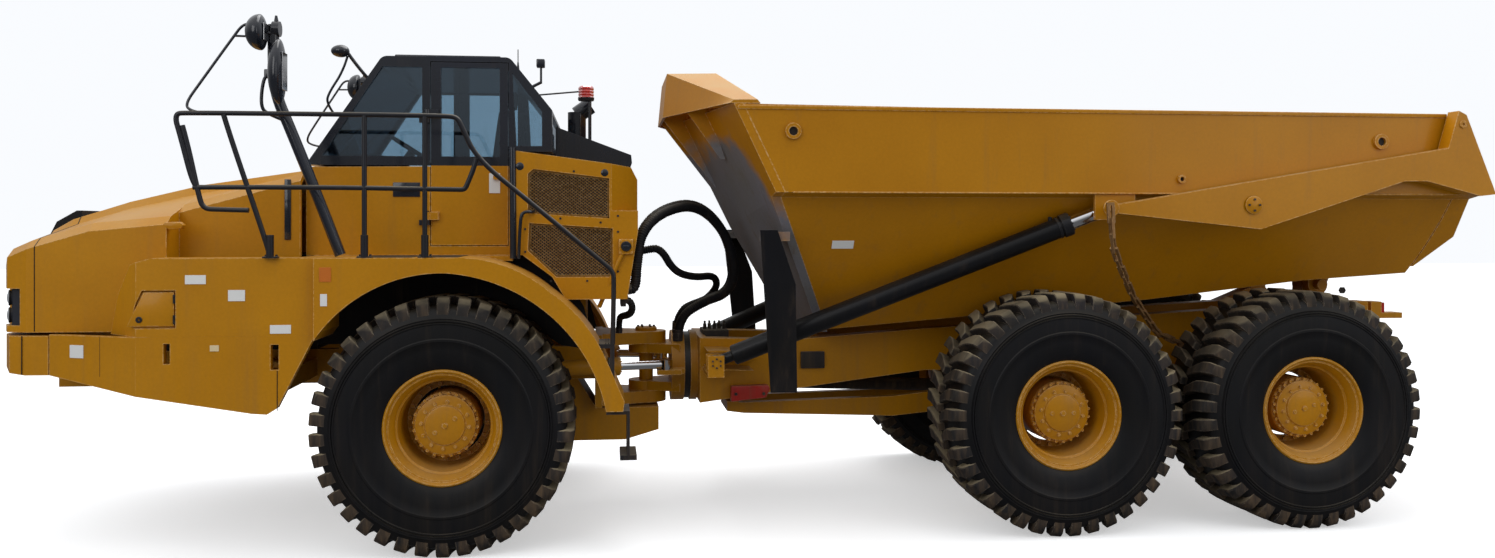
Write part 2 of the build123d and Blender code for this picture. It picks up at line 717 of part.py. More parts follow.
def rear_corner(wall):
    """The upper rear corner that is cut away, its face moved in by a wall."""
    along_cut, across_cut = corner_cut
    face = hypot(along_cut, across_cut)
    along_cut, across_cut = (along_cut + wall * face / across_cut,
                             across_cut + wall * face / along_cut)
    rear_u = max(u for u, z in housing_outline)
    wedge = [(rear_u - along_cut, -radiator_half_y), (rear_u, -radiator_half_y + across_cut),
             (rear_u + 10, -radiator_half_y - 10)]
    return plan_plate(wedge, corner_low_z - wall, 3000)


def radiator_housing():
    outer = side_plate(housing_outline, -radiator_half_y, radiator_half_y)
    room = side_plate(inset(housing_outline, housing_wall),
                      -radiator_half_y + housing_wall, radiator_half_y - housing_wall)
    outer = outer - rear_corner(0) - mirrored(rear_corner(0))
    room = room - rear_corner(housing_wall) - mirrored(rear_corner(housing_wall))
    shell = outer - room
    for window in (upper_grille, lower_grille):
        shell = shell - side_plate(window, -radiator_half_y - 1, radiator_half_y + 1)
    rear = block(1250, 1400, -800, 800, 1900, 2600)
    shell = shell - rear
    return shell


def mesh_pane(window):
    """Left-hand pane of crossing diagonal bars inside a rim."""
    edge = inset(window, seat_gap)
    y_from = -radiator_half_y + 16
    whole = side_plate(edge, y_from, y_from + mesh_wall)
    rim = whole - side_plate(inset(edge, mesh_rim), y_from - 1, y_from + mesh_wall + 1)
    us, zs = [u for u, z in edge], [z for u, z in edge]
    reach = hypot(max(us) - min(us), max(zs) - min(zs))
    middle = Pos((max(us) + min(us)) / 2, y_from + mesh_wall / 2, (max(zs) + min(zs)) / 2)
    strip = Box(reach, mesh_wall, mesh_bar)
    count = int(reach / 2 / mesh_pitch)
    for slope in (-mesh_slope, mesh_slope):
        bars = [middle * Rot(0, slope, 0) * Pos(0, 0, i * mesh_pitch) * strip
                for i in range(-count, count + 1)]
        rim = rim + [bar_ & whole for bar_ in bars if (bar_ & whole).volume > 0]
    return rim


def grilles():
    return both(mesh_pane(upper_grille)) + both(mesh_pane(lower_grille))


def radiator_core():
    room = side_plate(inset(housing_outline, housing_wall + seat_gap), -1000, 1000)
    return room & block(640, 1160, -1000, 1000, radiator_low_z, 2640)


def housing_top(u):
    return 2910 + (u - radiator_front_u) * (2795 - 2910) / (1330 - radiator_front_u)


def rear_cowl():
    """The black cover behind the cab, with the exhaust elbow and the beacon post."""
    outline = [(735, housing_top(735) + seat_gap), (1329, housing_top(1329) + seat_gap),
               (1352, 2860), (1345, 2925), (735, 3150)]
    cover = side_plate(outline, -500, 500)
    stack = bar((900, -250, 3000), (900, -250, 3290), 75)
    elbow = bar((900, -250, 3270), (1010, -250, 3350), 70)
    post = bar((1009, -440, 2980), (1009, -440, 3380), 14)
    return fused([cover, stack, elbow, post])


def beacon():
    lamp = Pos(1009, -440, 3430 + seat_gap) * Cylinder(52, 70)
    base = Pos(1009, -440, 3387.5 + seat_gap) * Cylinder(40, 15)
    return lamp + base


# ---------------------------------------------------------------- rails, mirrors, steps
rail_y = -1680
rail_radius = 17
rail_foot_z = deck_z + seat_gap
rail_top_z = 3112
rail_mid_z = 2480
stair_rail_u = 1185
stringer_top_z = 1500


def left_rails():
    """Guard rail round the left walkway and the handrail down the steps."""
    y = rail_y
    front = bent_tube([(-1175, y, rail_foot_z), (-1330, y, 2700), (-1500, y, rail_top_z)],
                      rail_radius, 60)
    loop = bent_tube([(-1700, y, rail_mid_z), (-1780, y, rail_mid_z), (-1845, y, rail_top_z),
                      (105, y, rail_top_z), (420, y, 2760), (320, y, rail_mid_z),
                      (-1710, y, rail_mid_z)], rail_radius, 60)
    stair = bent_tube([(400, y, 2740), (1120, y, 2190), (stair_rail_u, y, 2060),
                       (stair_rail_u, y, stringer_top_z + seat_gap)], rail_radius, 60)
    posts = [bar((u, y, rail_foot_z), (u, y, rail_top_z), rail_radius) for u in (-560, -190)]
    return fused([front, loop, stair] + posts)


def mirror_pole():
    """A leaning pole with its mirror heads, for the left-hand side."""
    y = -1500
    foot_cut = block(-950, -650, y - 100, y + 100, deck_z - 100, deck_z + seat_gap)
    pole = bar((-780, y, deck_z - 40), (-1187, y, 3760), 42) - foot_cut
    head = side_plate([(-1250, 3560), (-1120, 3560), (-1130, 3790), (-1240, 3790)], y - 160, y - 44)
    plate = side_plate([(-1110, 3130), (-1040, 3130), (-1020, 3560), (-1090, 3560)],
                       y - 330, y - 60)
    arm = bar((-1100, y, 3400), (-1080, y - 100, 3400), 14)
    arm_top = bar((-1180, y, 3680), (-1185, y - 100, 3680), 14)
    return fused([pole, head, plate, arm, arm_top])


step_y = (-1690, -1300)
step_heights = (1130, 1330, 1470)
stringer_u = stair_rail_u - 15


def access_steps():
    """The steps behind the left front wheel and the rubber-hung lowest step."""
    pieces = []
    for y in (step_y[0], step_y[1] - 30):
        pieces.append(block(stringer_u, stringer_u + 30, y, y + 30, 1045, stringer_top_z))
    for z in step_heights:
        pieces.append(block(900, stringer_u + 30, step_y[0], step_y[1], z, z + 30))
    steps = fused(pieces)
    tail = [(1262, 1017), (1272, 1088), (1141, 1391), (1070, 1540), (960, 1682),
            (738, 1881), (0, 1881), (0, 1017)]
    steps = steps - side_plate(inset(tail, -seat_gap), -1800, -1000)
    tail_u, tail_z = fender_tail[3]
    tip_u, tip_z = fender_tail[2]
    hanger = block(1290, 1310, step_y[0] + 20, step_y[1] - 20, 700, tail_z)
    tread = block(1240, 1360, step_y[0] + 20, step_y[1] - 20, 664, 700)
    top = side_plate([(tail_u, tail_z - 25), (1310, tail_z - 25), (1310, tip_z - seat_gap),
                      (tip_u, tip_z - seat_gap), (tail_u, tail_z - seat_gap)],
                     step_y[0] + 20, step_y[1] - 20)
    return [steps, fused([hanger, tread, top])]


# ---------------------------------------------------------------- hitch and steering
hitch_axis_z = 1150          # the rear frame rocks about this line
yoke_lug_gap = 0.3
ring_front_u = 1800
ring_back_u = 1850
tube_radius = 150            # oscillation journal
journal_end_u = 2150
steer_base = (480, 640, 1200)
steer_eye = (1633, 420, 1200)
barrel_radius = 65
steer_rod_radius = 35
steer_ear_wall = 40
steer_pin_radius = 20
steer_knuckle_radius = 55
steer_neck = 115             # from the pin to where the full barrel starts
steer_barrel_length = 780
steer_rod_start = 460


def hitch_yoke():
    """The yoke that turns on the hitch pin and carries the rear frame's journal."""
    bore = Pos(pin_u, 0, hitch_axis_z) * Cylinder(pin_radius + running_gap, 2000)
    low = lower_lug_low + lug_wall + yoke_lug_gap
    high = upper_lug_top - lug_wall - yoke_lug_gap
    cheeks = []
    for z_from, z_to in ((low, low + 80), (high - 80, high)):
        plate = plan_plate([(pin_u, -150), (1760, -270), (1760, 270), (pin_u, 150)], z_from, z_to)
        cheeks.append(plate + Pos(pin_u, 0, (z_from + z_to) / 2) * Cylinder(150, z_to - z_from))
    wall = Pos((1690 + ring_front_u) / 2, 0, hitch_axis_z) * Rot(0, 90, 0) \
        * Cylinder(300, ring_front_u - 1690 - seat_gap)
    journal = Pos((ring_front_u - 1 + journal_end_u) / 2, 0, hitch_axis_z) * Rot(0, 90, 0) \
        * Cylinder(tube_radius, journal_end_u - ring_front_u + 1)
    ears = [block(1560, 1760, y - 60, y + 60, steer_eye[2] - 40 - steer_ear_wall - running_gap,
                  steer_eye[2] - 40 - running_gap) for y in (-steer_eye[1], steer_eye[1])]
    ties = [block(1700, 1790, min(y, 0), max(y, 0), steer_eye[2] - 40 - steer_ear_wall
                  - running_gap, steer_eye[2] - 40 - running_gap)
            for y in (-steer_eye[1], steer_eye[1])]
    return fused(cheeks + [wall, journal] + ears + ties) - bore


def along(start, end, distance):
    """The point that lies a distance from start towards end."""
    step = (Vector(*end) - Vector(*start)).normalized() * distance
    point = Vector(*start) + step
    return (point.X, point.Y, point.Z)


def steer_barrel():
    """Left-hand steering barrel, pinned to the frame at its front end."""
    base = (steer_base[0], -steer_base[1], steer_base[2])
    eye = (steer_eye[0], -steer_eye[1], steer_eye[2])
    body = bar(along(base, eye, steer_neck), along(base, eye, steer_barrel_length), barrel_radius)
    neck = bar(base, along(base, eye, steer_neck + 5), 36)
    knuckle = Pos(*base) * Cylinder(steer_knuckle_radius, 80)
    hollow = bar(along(base, eye, steer_neck + 20), along(base, eye, steer_barrel_length + 10),
                 steer_rod_radius + cylinder_clearance)
    pin_hole = Pos(*base) * Cylinder(steer_pin_radius + running_gap, 200)
    return body + neck + knuckle - hollow - pin_hole


def steer_rod():
    base = (steer_base[0], -steer_base[1], steer_base[2])
    eye = (steer_eye[0], -steer_eye[1], steer_eye[2])
    rod = bar(along(base, eye, steer_rod_start), eye, steer_rod_radius)
    head = Pos(*eye) * Cylinder(steer_knuckle_radius, 80)
    return rod + head


def steer_bracket():
    """Ears on the frame with the pin of the steering barrel's front eye."""
    y = -steer_base[1]
    ears = [block(steer_base[0] - 60, steer_base[0] + 40, y - 50, -frame_outer_y + 1, z, z + 30)
            for z in (steer_base[2] - 70 - running_gap, steer_base[2] + 40 + running_gap)]
    pin = Pos(steer_base[0], y, steer_base[2]) * Cylinder(steer_pin_radius, 140)
    return fused(ears + [pin])


# ---------------------------------------------------------------- rear frame
rear_rail_y = (330, 480)
dump_pivot = (7300, 1837)
pivot_pin_radius = 45
hoist_base = (2000, 900, 1268)
hoist_eye = (4870, 1510, 2440)
hoist_ball = 60
hoist_barrel_radius = 80
hoist_rod_radius = 55
hoist_barrel_length = 2950
cylinder_clearance = 1
hoist_ear_gap = 40           # room for the rod's eye to swing past
hoist_neck = 150             # from the ball to where the full barrel starts
rear_outline = [(1909, 886), (2912, 1018), (3811, 1130), (7350, 1130), (7700, 1210),
                (7850, 1440), (7850, 1640), (7805, 1640), (7760, 1540), (7650, 1375),
                (7500, 1375), (7420, 1640), (7380, 1760), (7200, 1760), (6900, 1640),
                (3811, 1480), (2700, 1400), (1909, 1422)]


rear_u = rear_overhang + wheelbase + bogie_spacing
tail_y = 330                 # the tail's two lugs
tail_z = 1570


def rear_frame():
    """Two box rails with cross members, the front bearing and the tail lugs."""
    rail = side_plate(rear_outline, -rear_rail_y[1], -rear_rail_y[0])
    boss = Pos(dump_pivot[0], -405, dump_pivot[1]) * Rot(90, 0, 0) \
        * Cylinder(75, rear_rail_y[1] - rear_rail_y[0])
    neck = side_plate([(dump_pivot[0] - 75, 1700), (dump_pivot[0] + 75, 1700),
                       (dump_pivot[0] + 70, dump_pivot[1]), (dump_pivot[0] - 70, dump_pivot[1])],
                      -rear_rail_y[1], -rear_rail_y[0])
    pin = Pos(dump_pivot[0], -495, dump_pivot[1]) * Rot(90, 0, 0) \
        * Cylinder(pivot_pin_radius, 330)
    half = [rail, boss, neck, pin]
    half.append(hoist_foot())
    half.append(chain_foot())
    pieces = half + [mirrored(piece) for piece in half]
    y = rear_rail_y[0] + 10
    for u_from, u_to, z_from, z_to in ((1909, 1969, 886, 1422), (3000, 3200, 1100, 1380),
                                       (5400, 5600, 1200, 1450), (7000, 7200, 1200, 1560),
                                       (7790, 7850, 1440, 1640)):
        pieces.append(block(u_from, u_to, -y, y, z_from, z_to))
    flange = Pos((ring_back_u + 1910) / 2, 0, hitch_axis_z) * Rot(0, 90, 0) \
        * Cylinder(300, 1910 - ring_back_u)
    tube = Pos((1909 + 2200) / 2, 0, hitch_axis_z) * Rot(0, 90, 0) * Cylinder(tube_radius + 60, 291)
    pieces += [flange, tube]
    bore = Pos((ring_back_u + journal_end_u) / 2, 0, hitch_axis_z) * Rot(0, 90, 0) \
        * Cylinder(tube_radius + running_gap, journal_end_u - ring_back_u + 2 * running_gap + 20)
    hanger = block(2157, 2257, -100, 100, link_cross_top + seat_gap, hitch_axis_z - tube_radius)
    pieces.append(hanger)
    lugs = []
    for y in (-tail_y, tail_y):
        lugs.append(block(7849, rear_u, y - 70, y + 70, tail_z - 50, tail_z))
        lugs.append(block(rear_u - 300, rear_u - 200, y - 70, y + 70, tail_z - 1, tail_z + 99))
    pieces += lugs
    return fused(pieces) - bore


def rear_lamps():
    """A lamp on the back of each upright at the frame's tail."""
    lamp = block(rear_u - 200 + seat_gap, rear_u - 165, -tail_y - 60, -tail_y + 60,
                 tail_z + seat_gap, tail_z + 90)
    return both(lamp)


tow_hole_radius = 30
tow_wall = 50


def tow_eye():
    """The plate with the hole for a tow pin, on the frame's rear face."""
    plate = plan_plate([(7850 + seat_gap, -110), (8110, -90), (8110, 90), (7850 + seat_gap, 110)],
                       1450, 1450 + tow_wall)
    plate = plate + Pos(8110, 0, 1450 + tow_wall / 2) * Cylinder(90, tow_wall)
    return plate - Pos(8110, 0, 1475) * Cylinder(tow_hole_radius, 200)


def hoist_foot():
    """Left-hand bracket with two ears that hold the hoist's ball."""
    u, y, z = hoist_base[0], -hoist_base[1], hoist_base[2]
    ears = [side_plate([(u - 70, z - 90), (u + 60, z - 90), (u + 60, z + 60), (u - 70, z + 60)],
                       y + side * (hoist_ball + running_gap + 15) - 15,
                       y + side * (hoist_ball + running_gap + 15) + 15) for side in (-1, 1)]
    shelf = block(u - 70, u + 60, y - hoist_ball - 30, -rear_rail_y[1] + 1, z - 110, z - 80)
    return fused(ears + [shelf])


link_cross_top = 860
chain_base = (6100, 620, 1300)
chain_eye = (4833, body_half_y + 206, 2497)
link_length, link_width, link_bar = 152, 56, 20
chain_pin_radius = 14


def chain_foot():
    """A pin on the left rail that the tailgate chain swings on."""
    u, y, z = chain_base[0], -chain_base[1], chain_base[2]
    return Pos(u, (y - 40 - rear_rail_y[1]) / 2, z) * Rot(90, 0, 0) \
        * Cylinder(chain_pin_radius, -y + 40 - rear_rail_y[1])


def bearing_ring():
    """The dark seal ring between yoke and rear frame."""
    ring = Pos((ring_front_u + ring_back_u) / 2, 0, hitch_axis_z) * Rot(0, 90, 0) \
        * (Cylinder(285, ring_back_u - ring_front_u - 2 * seat_gap)
           - Cylinder(tube_radius + 8, 200))
    return ring


def bogie():
    """Both rear axles with the walking beams and the drag links."""
    solids = []
    beam_y = 700
    for station in (wheel_stations["mid"], wheel_stations["rear"]):
        solids.append(axle_solid(station))
    beam = side_plate([(4470, 870), (4700, 770), (6440, 770), (6680, 870), (6680, 960),
                       (6300, 1060), (5750, 1180), (5400, 1180), (4850, 1060), (4470, 960)],
                      -beam_y - 70, -beam_y + 70)
    solids += [beam, mirrored(beam)]
    pivot = Pos(5573, 0, 1055) * Rot(90, 0, 0) * Cylinder(70, 2 * beam_y)
    saddle = [block(5480, 5666, y - 60, y + 60, 1060, 1130 - seat_gap) for y in (-405, 405)]
    solids += [pivot] + saddle
    link = side_plate([(2157, 780), (2300, 760), (3595, 712), (4500, 800), (4500, 980),
                       (3595, 881), (2300, 850), (2157, link_cross_top)], -260, -180)
    solids += [link, mirrored(link), block(2157, 2257, -260, 260, 780, link_cross_top)]
    return fused(solids)


# ---------------------------------------------------------------- tipping body
body_wall = 30
band_low_z = 2590
lip_y = 1500
lip_z = 2560
floor_half_y = 740
floor_low_z = 1484
body_low_z = 1300            # the section is drawn past the floor, then cut
wall_slope = (lip_y - floor_half_y) / (lip_z - floor_low_z)
body_top_z = 3300
floor_wall = 40
board_low_u = 2712           # headboard's front face on the middle plane: floor,
fold = (2210, 2340)          # fold
board_top_u = 1761           # and top edge
board_low_back, board_fold_back, board_top_back = 322, 175, 300   # its sweep out to the side
fold_rise = 220
board_top_z = 3237
board_wall = 70
body_rear_z = 3190           # top of the side walls at the rear
gate_boss = (5992, 2502)     # the tailgate's arms turn about this line
gate_radius = 1860           # from it to the body's rear edge
gate_gap = 8
gate_u = gate_boss[0] + gate_radius    # the body's rearmost line
floor_line = [(2659, floor_low_z), (5562, 1737), (6876, 1894), (gate_u - 56, 1956)]

flap_top = (2312, 1375)      # z and half width of the rubber flap's top edge
flap_low = (1060, 1160)


def flap_y(z):
    """Half width of the rubber flap's inner face at a height."""
    return flap_low[1] + (flap_top[1] - flap_low[1]) * (z - flap_low[0]) / (flap_top[0] - flap_low[0])


def wall_y(z):
    """Half width of the slanted lower wall's outer face at a height."""
    return floor_half_y + wall_slope * (z - floor_low_z)


def body_section(drop):
    """Cross-section of the body, its walls moved in by drop, open at the top."""
    half = [(wall_y(body_low_z), body_low_z), (lip_y, lip_z), (body_half_y, band_low_z),
            (body_half_y, body_top_z)]
    points = half + [(-y, z) for y, z in reversed(half)]
    if drop:
        points = inset(points, drop)
        points[3], points[4] = (points[3][0], body_top_z + 9), (points[4][0], body_top_z + 9)
    return cross_plate(points, 1000, 9000)


def board_line(y):
    """Front face of the headboard at a width, from the floor up."""
    out = abs(y) / body_half_y
    return [(board_low_u + board_low_back * out, floor_low_z),
            (fold[0] + board_fold_back * out, fold[1] + fold_rise * out),
            (board_top_u + board_top_back * out, board_top_z)]


def across(section):
    """A solid through the same kind of section at both sides and the middle."""
    faces = []
    for y in (-body_half_y - 1, 0, body_half_y + 1):
        faces.append(Pos(0, y, 0) * (Plane.XZ * Polygon(*section(y), align=None)))
    return loft(faces, ruled=True)


def board_section(y):
    line = board_line(y)
    return line + [(u + board_wall, z) for u, z in reversed(line)]


def ahead_section(y):
    """Everything in front of the headboard's rear face."""
    line = [(u + board_wall + seat_gap, z) for u, z in board_line(y)]
    high, low = board_top_z + 120, floor_low_z - 100
    return line + [(line[2][0], high), (900, high), (900, low), (line[0][0], low)]


rib_wall = 16
rib_places = ((170, 2676), (870, 2876))     # half width and tip height of the guard's ribs


def headboard():
    """The plough-shaped front plate, with the guard's ribs and the flap brackets."""
    plate = across(board_section) & body_section(0)
    ribs = []
    for y, tip_z in rib_places:
        out = y / body_half_y
        tip_u = fold[0] + board_fold_back * out + (board_top_u - fold[0]) * (tip_z - fold[1]) \
            / (board_top_z - fold[1])
        top_u = board_top_u + board_top_back * out + board_wall / 2
        roof = guard_section(y + rib_wall / 2, guard_wall + seat_gap)
        rise = (roof[2][1] - roof[1][1]) / (roof[2][0] - roof[1][0])
        rib = side_plate([(tip_u + 5, tip_z), (tip_u + 45, tip_z), (top_u, board_top_z - 1),
                          (top_u, roof[1][1] + rise * (top_u - roof[1][0])), roof[1], roof[0]],
                         -y - rib_wall / 2, -y + rib_wall / 2)
        ribs += both(rib)
    low, high = 2230, 2300
    bracket = cross_plate([(-flap_y(low) + seat_gap, low), (-flap_y(high) + seat_gap, high),
                           (-wall_y(high) + 90, high), (-wall_y(low) + 90, low)], 2310, 2520)
    return fused([plate] + ribs + both(bracket))


guard_front_u = 1605
guard_top = ((1640, 3600), (2046, 3610))     # the roof's front and rear edges
guard_flat_y = 450           # half width of the flat part
guard_wall = 22


def guard_section(y, wall):
    """Outline of the guard at a width: it falls from the flat part to the corners."""
    out = max(0, abs(y) - guard_flat_y) / (body_half_y - guard_flat_y)
    low = board_top_z + seat_gap
    (front_u, front_z), (rear_u, rear_z) = guard_top
    fall = 1 - out
    return [(guard_front_u + 425 * out + wall, low if not wall else low - 1),
            (front_u + 420 * out + wall, low + 25 + (front_z - low - 25) * fall - wall),
            (rear_u + 190 * out - wall, low + 28 + (rear_z - low - 28) * fall - wall),
            (2160 + 98 * out - wall, low if not wall else low - 1)]


def spill_guard():
    """The folded canopy in front of the body's top edge, open below."""
    def shell(wall, reach):
        faces = [Pos(0, y, 0) * (Plane.XZ * Polygon(*guard_section(y, wall), align=None))
                 for y in (-reach, -guard_flat_y, guard_flat_y, reach)]
        return loft(faces, ruled=True)
    return [shell(0, body_half_y) - shell(guard_wall, 1250)]




rear_end_u = 8100


def beyond_gate(radius):
    """Everything behind an arc about the tailgate's pins."""
    u, z = gate_boss
    reach = body_half_y + 200
    return block(u, u + 3000, -reach, reach, z - 1800, z + 1800) \
        - Pos(u, 0, z) * Rot(90, 0, 0) * Cylinder(radius, 2 * reach + 10)


def body_sides():
    """Both side walls: slanted lower plate, lip and upright upper band."""
    walls = body_section(0) - body_section(body_wall)
    outline = floor_line + [(rear_end_u, floor_line[-1][1]), (rear_end_u, body_rear_z),
                            (1700, board_top_z)]
    side = walls & side_plate(outline, -body_half_y - 1, body_half_y + 1)
    return side - across(ahead_section) - beyond_gate(gate_radius)


def bed_floor():
    """Floor plate, between the side walls, with its pivot lugs and sills."""
    top = [(u, z + floor_wall) for u, z in reversed(floor_line)]
    plate = side_plate(floor_line + top, -1300, 1300) & body_section(body_wall)
    plate = plate - across(ahead_section) - beyond_gate(gate_radius)
    lugs = []
    for sign in (-1, 1):
        y = sign * 560
        arm = side_plate([(7180, 1915), (7250, dump_pivot[1] - 60), (7350, dump_pivot[1] - 60),
                          (7420, 1930), (7420, 1950), (7180, 1930)], y - 35, y + 35)
        arm = arm + Pos(dump_pivot[0], y, dump_pivot[1]) * Rot(90, 0, 0) * Cylinder(90, 70)
        arm = arm - Pos(dump_pivot[0], y, dump_pivot[1]) * Rot(90, 0, 0) \
            * Cylinder(pivot_pin_radius + running_gap, 200)
        lugs.append(arm)
    return fused([plate] + lugs)


def front_flaps():
    """Rubber flaps that hang from the body's front corners, outside the hoists."""
    face = [(2290, flap_top[0]), (2420, flap_top[0]), (2570, 1900), (2605, flap_low[0]),
            (2400, flap_low[0])]
    low, high = flap_low, flap_top
    slab = cross_plate([(-low[1], low[0]), (-low[1] - 25, low[0]), (-high[1] - 25, high[0]),
                        (-high[1], high[0])], 2000, 2700) & side_plate(face, -1500, -1000)
    return both(slab)


# ---------------------------------------------------------------- tailgate
gate_pin_radius = 40
arm_y = (body_half_y + 20, body_half_y + 140)
gate_back = [(gate_u - 41, 2010), (gate_u + 188, 2258), (gate_u + 151, 2590), (gate_u - 99, 3204)]
gate_wall = 60
cheek_wall = 40
arm_outline = [(4894, 2440), (6057, 2319), (gate_u - 618, 2687), (gate_u - 431, 2690),
               (gate_u + 21, 2576), gate_back[2], gate_back[3], (gate_u - 162, 3235),
               (gate_u - 250, 2945), (4894, 2500)]


def tailgate():
    """Gate plate with its two side arms, which turn on pins in the body's sides."""
    arm = side_plate(arm_outline, -arm_y[1], -arm_y[0])
    arm = arm - Pos(gate_boss[0], -arm_y[0], gate_boss[1]) * Rot(90, 0, 0) \
        * Cylinder(gate_pin_radius + running_gap, 300)
    eye = Pos(4870, -arm_y[1], 2475) * Rot(90, 0, 0) * Cylinder(25, 60)
    front = [(u - gate_wall, z) for u, z in gate_back]
    plate = side_plate(front[2:] + list(reversed(gate_back[2:])), -arm_y[0], arm_y[0])
    scoop = side_plate(front[:3] + list(reversed(gate_back[:3])), -arm_y[0], arm_y[0])
    cheeks = side_plate(gate_back[:3] + [(gate_u - 152, 2590), (gate_u - 152, 2010)], -arm_y[0], arm_y[0])
    cheeks = cheeks & (body_section(0) - body_section(cheek_wall))
    rear = (plate + (scoop & body_section(0)) + cheeks) & beyond_gate(gate_radius + gate_gap)
    return fused([rear, arm, mirrored(arm), eye, mirrored(eye)])


def gate_pins():
    """Bosses and pins on the body's sides for the tailgate's arms."""
    pin = Pos(gate_boss[0], -(body_half_y + arm_y[1] + 10) / 2, gate_boss[1]) * Rot(90, 0, 0) \
        * Cylinder(gate_pin_radius, arm_y[1] + 10 - body_half_y)
    collar = Pos(gate_boss[0], -(body_half_y + arm_y[0] - running_gap) / 2, gate_boss[1]) \
        * Rot(90, 0, 0) * Cylinder(80, arm_y[0] - running_gap - body_half_y)
    low = gate_boss[1] - 82
    gusset = cross_plate([(-body_half_y, band_low_z + 5), (-body_half_y, low), (-1380, low),
                          (-1480, band_low_z + 5)], gate_boss[0] - 90, gate_boss[0] + 90)
    return pin + collar + (gusset - body_section(body_wall))


def hoist_ears():
    """Left-hand ears on the body's wall that the hoist's rod eye sits between."""
    u, y, z = hoist_eye[0], -hoist_eye[1], hoist_eye[2]
    inner = y - hoist_ball - hoist_ear_gap
    ear = side_plate([(u - 60, z - 50), (u + 60, z - 50), (u + 260, lip_z - 20),
                      (u + 260, lip_z + 30), (u - 60, lip_z + 30)], inner - 26, inner)
    boss = Pos(u, (inner + y - hoist_ball - running_gap) / 2, z) * Rot(90, 0, 0) \
        * Cylinder(32, hoist_ear_gap - running_gap)
    return ear + boss


# ---------------------------------------------------------------- hoists and chains


def hoist_barrel():
    base = (hoist_base[0], -hoist_base[1], hoist_base[2])
    eye = (hoist_eye[0], -hoist_eye[1], hoist_eye[2])
    bore_radius = hoist_rod_radius + cylinder_clearance
    neck_radius = 42
    profile = [(0, hoist_ball - 20), (neck_radius, hoist_ball - 20), (neck_radius, hoist_neck),
               (hoist_barrel_radius - 8, hoist_neck), (hoist_barrel_radius, hoist_neck + 8),
               (hoist_barrel_radius, hoist_barrel_length), (bore_radius, hoist_barrel_length),
               (bore_radius, hoist_neck + 25), (0, hoist_neck + 25)]
    tube = revolve(Plane.XZ * Polygon(*profile, align=None), axis=Axis.Z)
    return line_frame(base, eye) * (tube + Sphere(hoist_ball))


def hoist_rod():
    base = (hoist_base[0], -hoist_base[1], hoist_base[2])
    eye = (hoist_eye[0], -hoist_eye[1], hoist_eye[2])
    rod = bar(along(base, eye, hoist_neck + 30), along(base, eye, hoist_reach - 20),
              hoist_rod_radius)
    return rod + line_frame(eye, base) * Sphere(hoist_ball)


hoist_reach = sqrt(sum((a - b) ** 2 for a, b in zip(hoist_base, hoist_eye)))


def chain():
    """Left-hand tailgate chain, hung from the arm's eye to the frame's pin."""
    low = (chain_base[0], -chain_base[1] - 60, chain_base[2])
    top = (chain_eye[0], -chain_eye[1], chain_eye[2])
    hang = (chain_eye[0] + 20, -chain_eye[1], 2180)
    sag = (5200, -1450, 1800)
    mid = (5620, -1000, 1470)
    path = FilletPolyline(low, mid, sag, hang, top, radius=220)
    count = round(path.length / (link_length - 2 * link_bar))
    joints = [path @ (i / count) for i in range(count + 1)]
    links = [chain_link(a, b, 90 * (i % 2)) for i, (a, b) in enumerate(zip(joints, joints[1:]))]
    turn = Pos(low[0], low[1] + 30, low[2]) * Rot(90, 0, 0)
    return fused([turn * Cylinder(34, 60)] + links) \
        - turn * Cylinder(chain_pin_radius + running_gap, 200)


def chain_link(start, end, roll):
    """A flat-sided ring between two points of the chain, each end past its point."""
    along_link = (end - start).normalized()
    across_link = along_link.cross(Vector(0, 0, 1)).normalized()
    length = (end - start).length + 2 * link_bar - 1
    ring = Box(link_width, link_bar, length) \
        - Box(link_width - 2 * link_bar, link_bar + 1, length - 2 * link_bar)
    place = Plane(origin=(start + end) * 0.5, x_dir=across_link, z_dir=along_link)
    return place * Rot(0, 0, roll) * ring


# ---------------------------------------------------------------- write the nodes
def main():
    os.makedirs("parts", exist_ok=True)
    frame = fused([front_frame(), steer_bracket(), mirrored(steer_bracket())])
    save("front_frame", [frame])
    save("front_axle", [front_axle()])
    save("engine", [engine(), radiator_core()])
    save("bumper", [bumper()])
    save("side_panels", side_panels())
    save("fenders", both(fender()))
    save("cab_base", [cab_base()])
    save("cab_frame", [cab_frame()])
    save("cab_glass", cab_glass())
    save("cab_interior", cab_interior())
    save("seat_cushions", seat_cushions())
    save("door_hinges", door_hinges())
    save("radiator_housing", [radiator_housing()])
    save("grilles", grilles())
    save("rear_cowl", [rear_cowl()])
    save("beacon", [beacon()])
    save("left_rails", [left_rails()])
    save("mirrors", both(mirror_pole()))
    save("access_steps", access_steps())
    save("hood", [hood()])
    save("hood_pod", [hood_pod()])
    save("headlamps", both(headlamp()))
    save("door", [door_shell()])
    save("door_glass", [door_glass()])
    save("hitch_yoke", [hitch_yoke()])
    save("bearing_ring", [bearing_ring()])
    save("rear_frame", [rear_frame()])
    save("tow_eye", [tow_eye()])
    save("rear_lamps", rear_lamps())
    save("bogie", [bogie()])
    save("bed_floor", [bed_floor()])
    save("headboard", [headboard()])
    save("spill_guard", spill_guard())
    sides_shape = body_sides()
    save("bed_sides", [sides_shape + gate_pins() + mirrored(gate_pins())
                       + hoist_ears() + mirrored(hoist_ears())])
    save("front_flaps", front_flaps())
    save("tailgate", [tailgate()])
    for side, sign in sides.items():
        for name, shape in (("steer_barrel", steer_barrel()), ("steer_rod", steer_rod()),
                            ("hoist_barrel", hoist_barrel()), ("hoist_rod", hoist_rod()),
                            ("chain", chain())):
            save(f"{name}_{side}", [shape if sign < 0 else mirrored(shape)])
    wheel_pieces()


main()
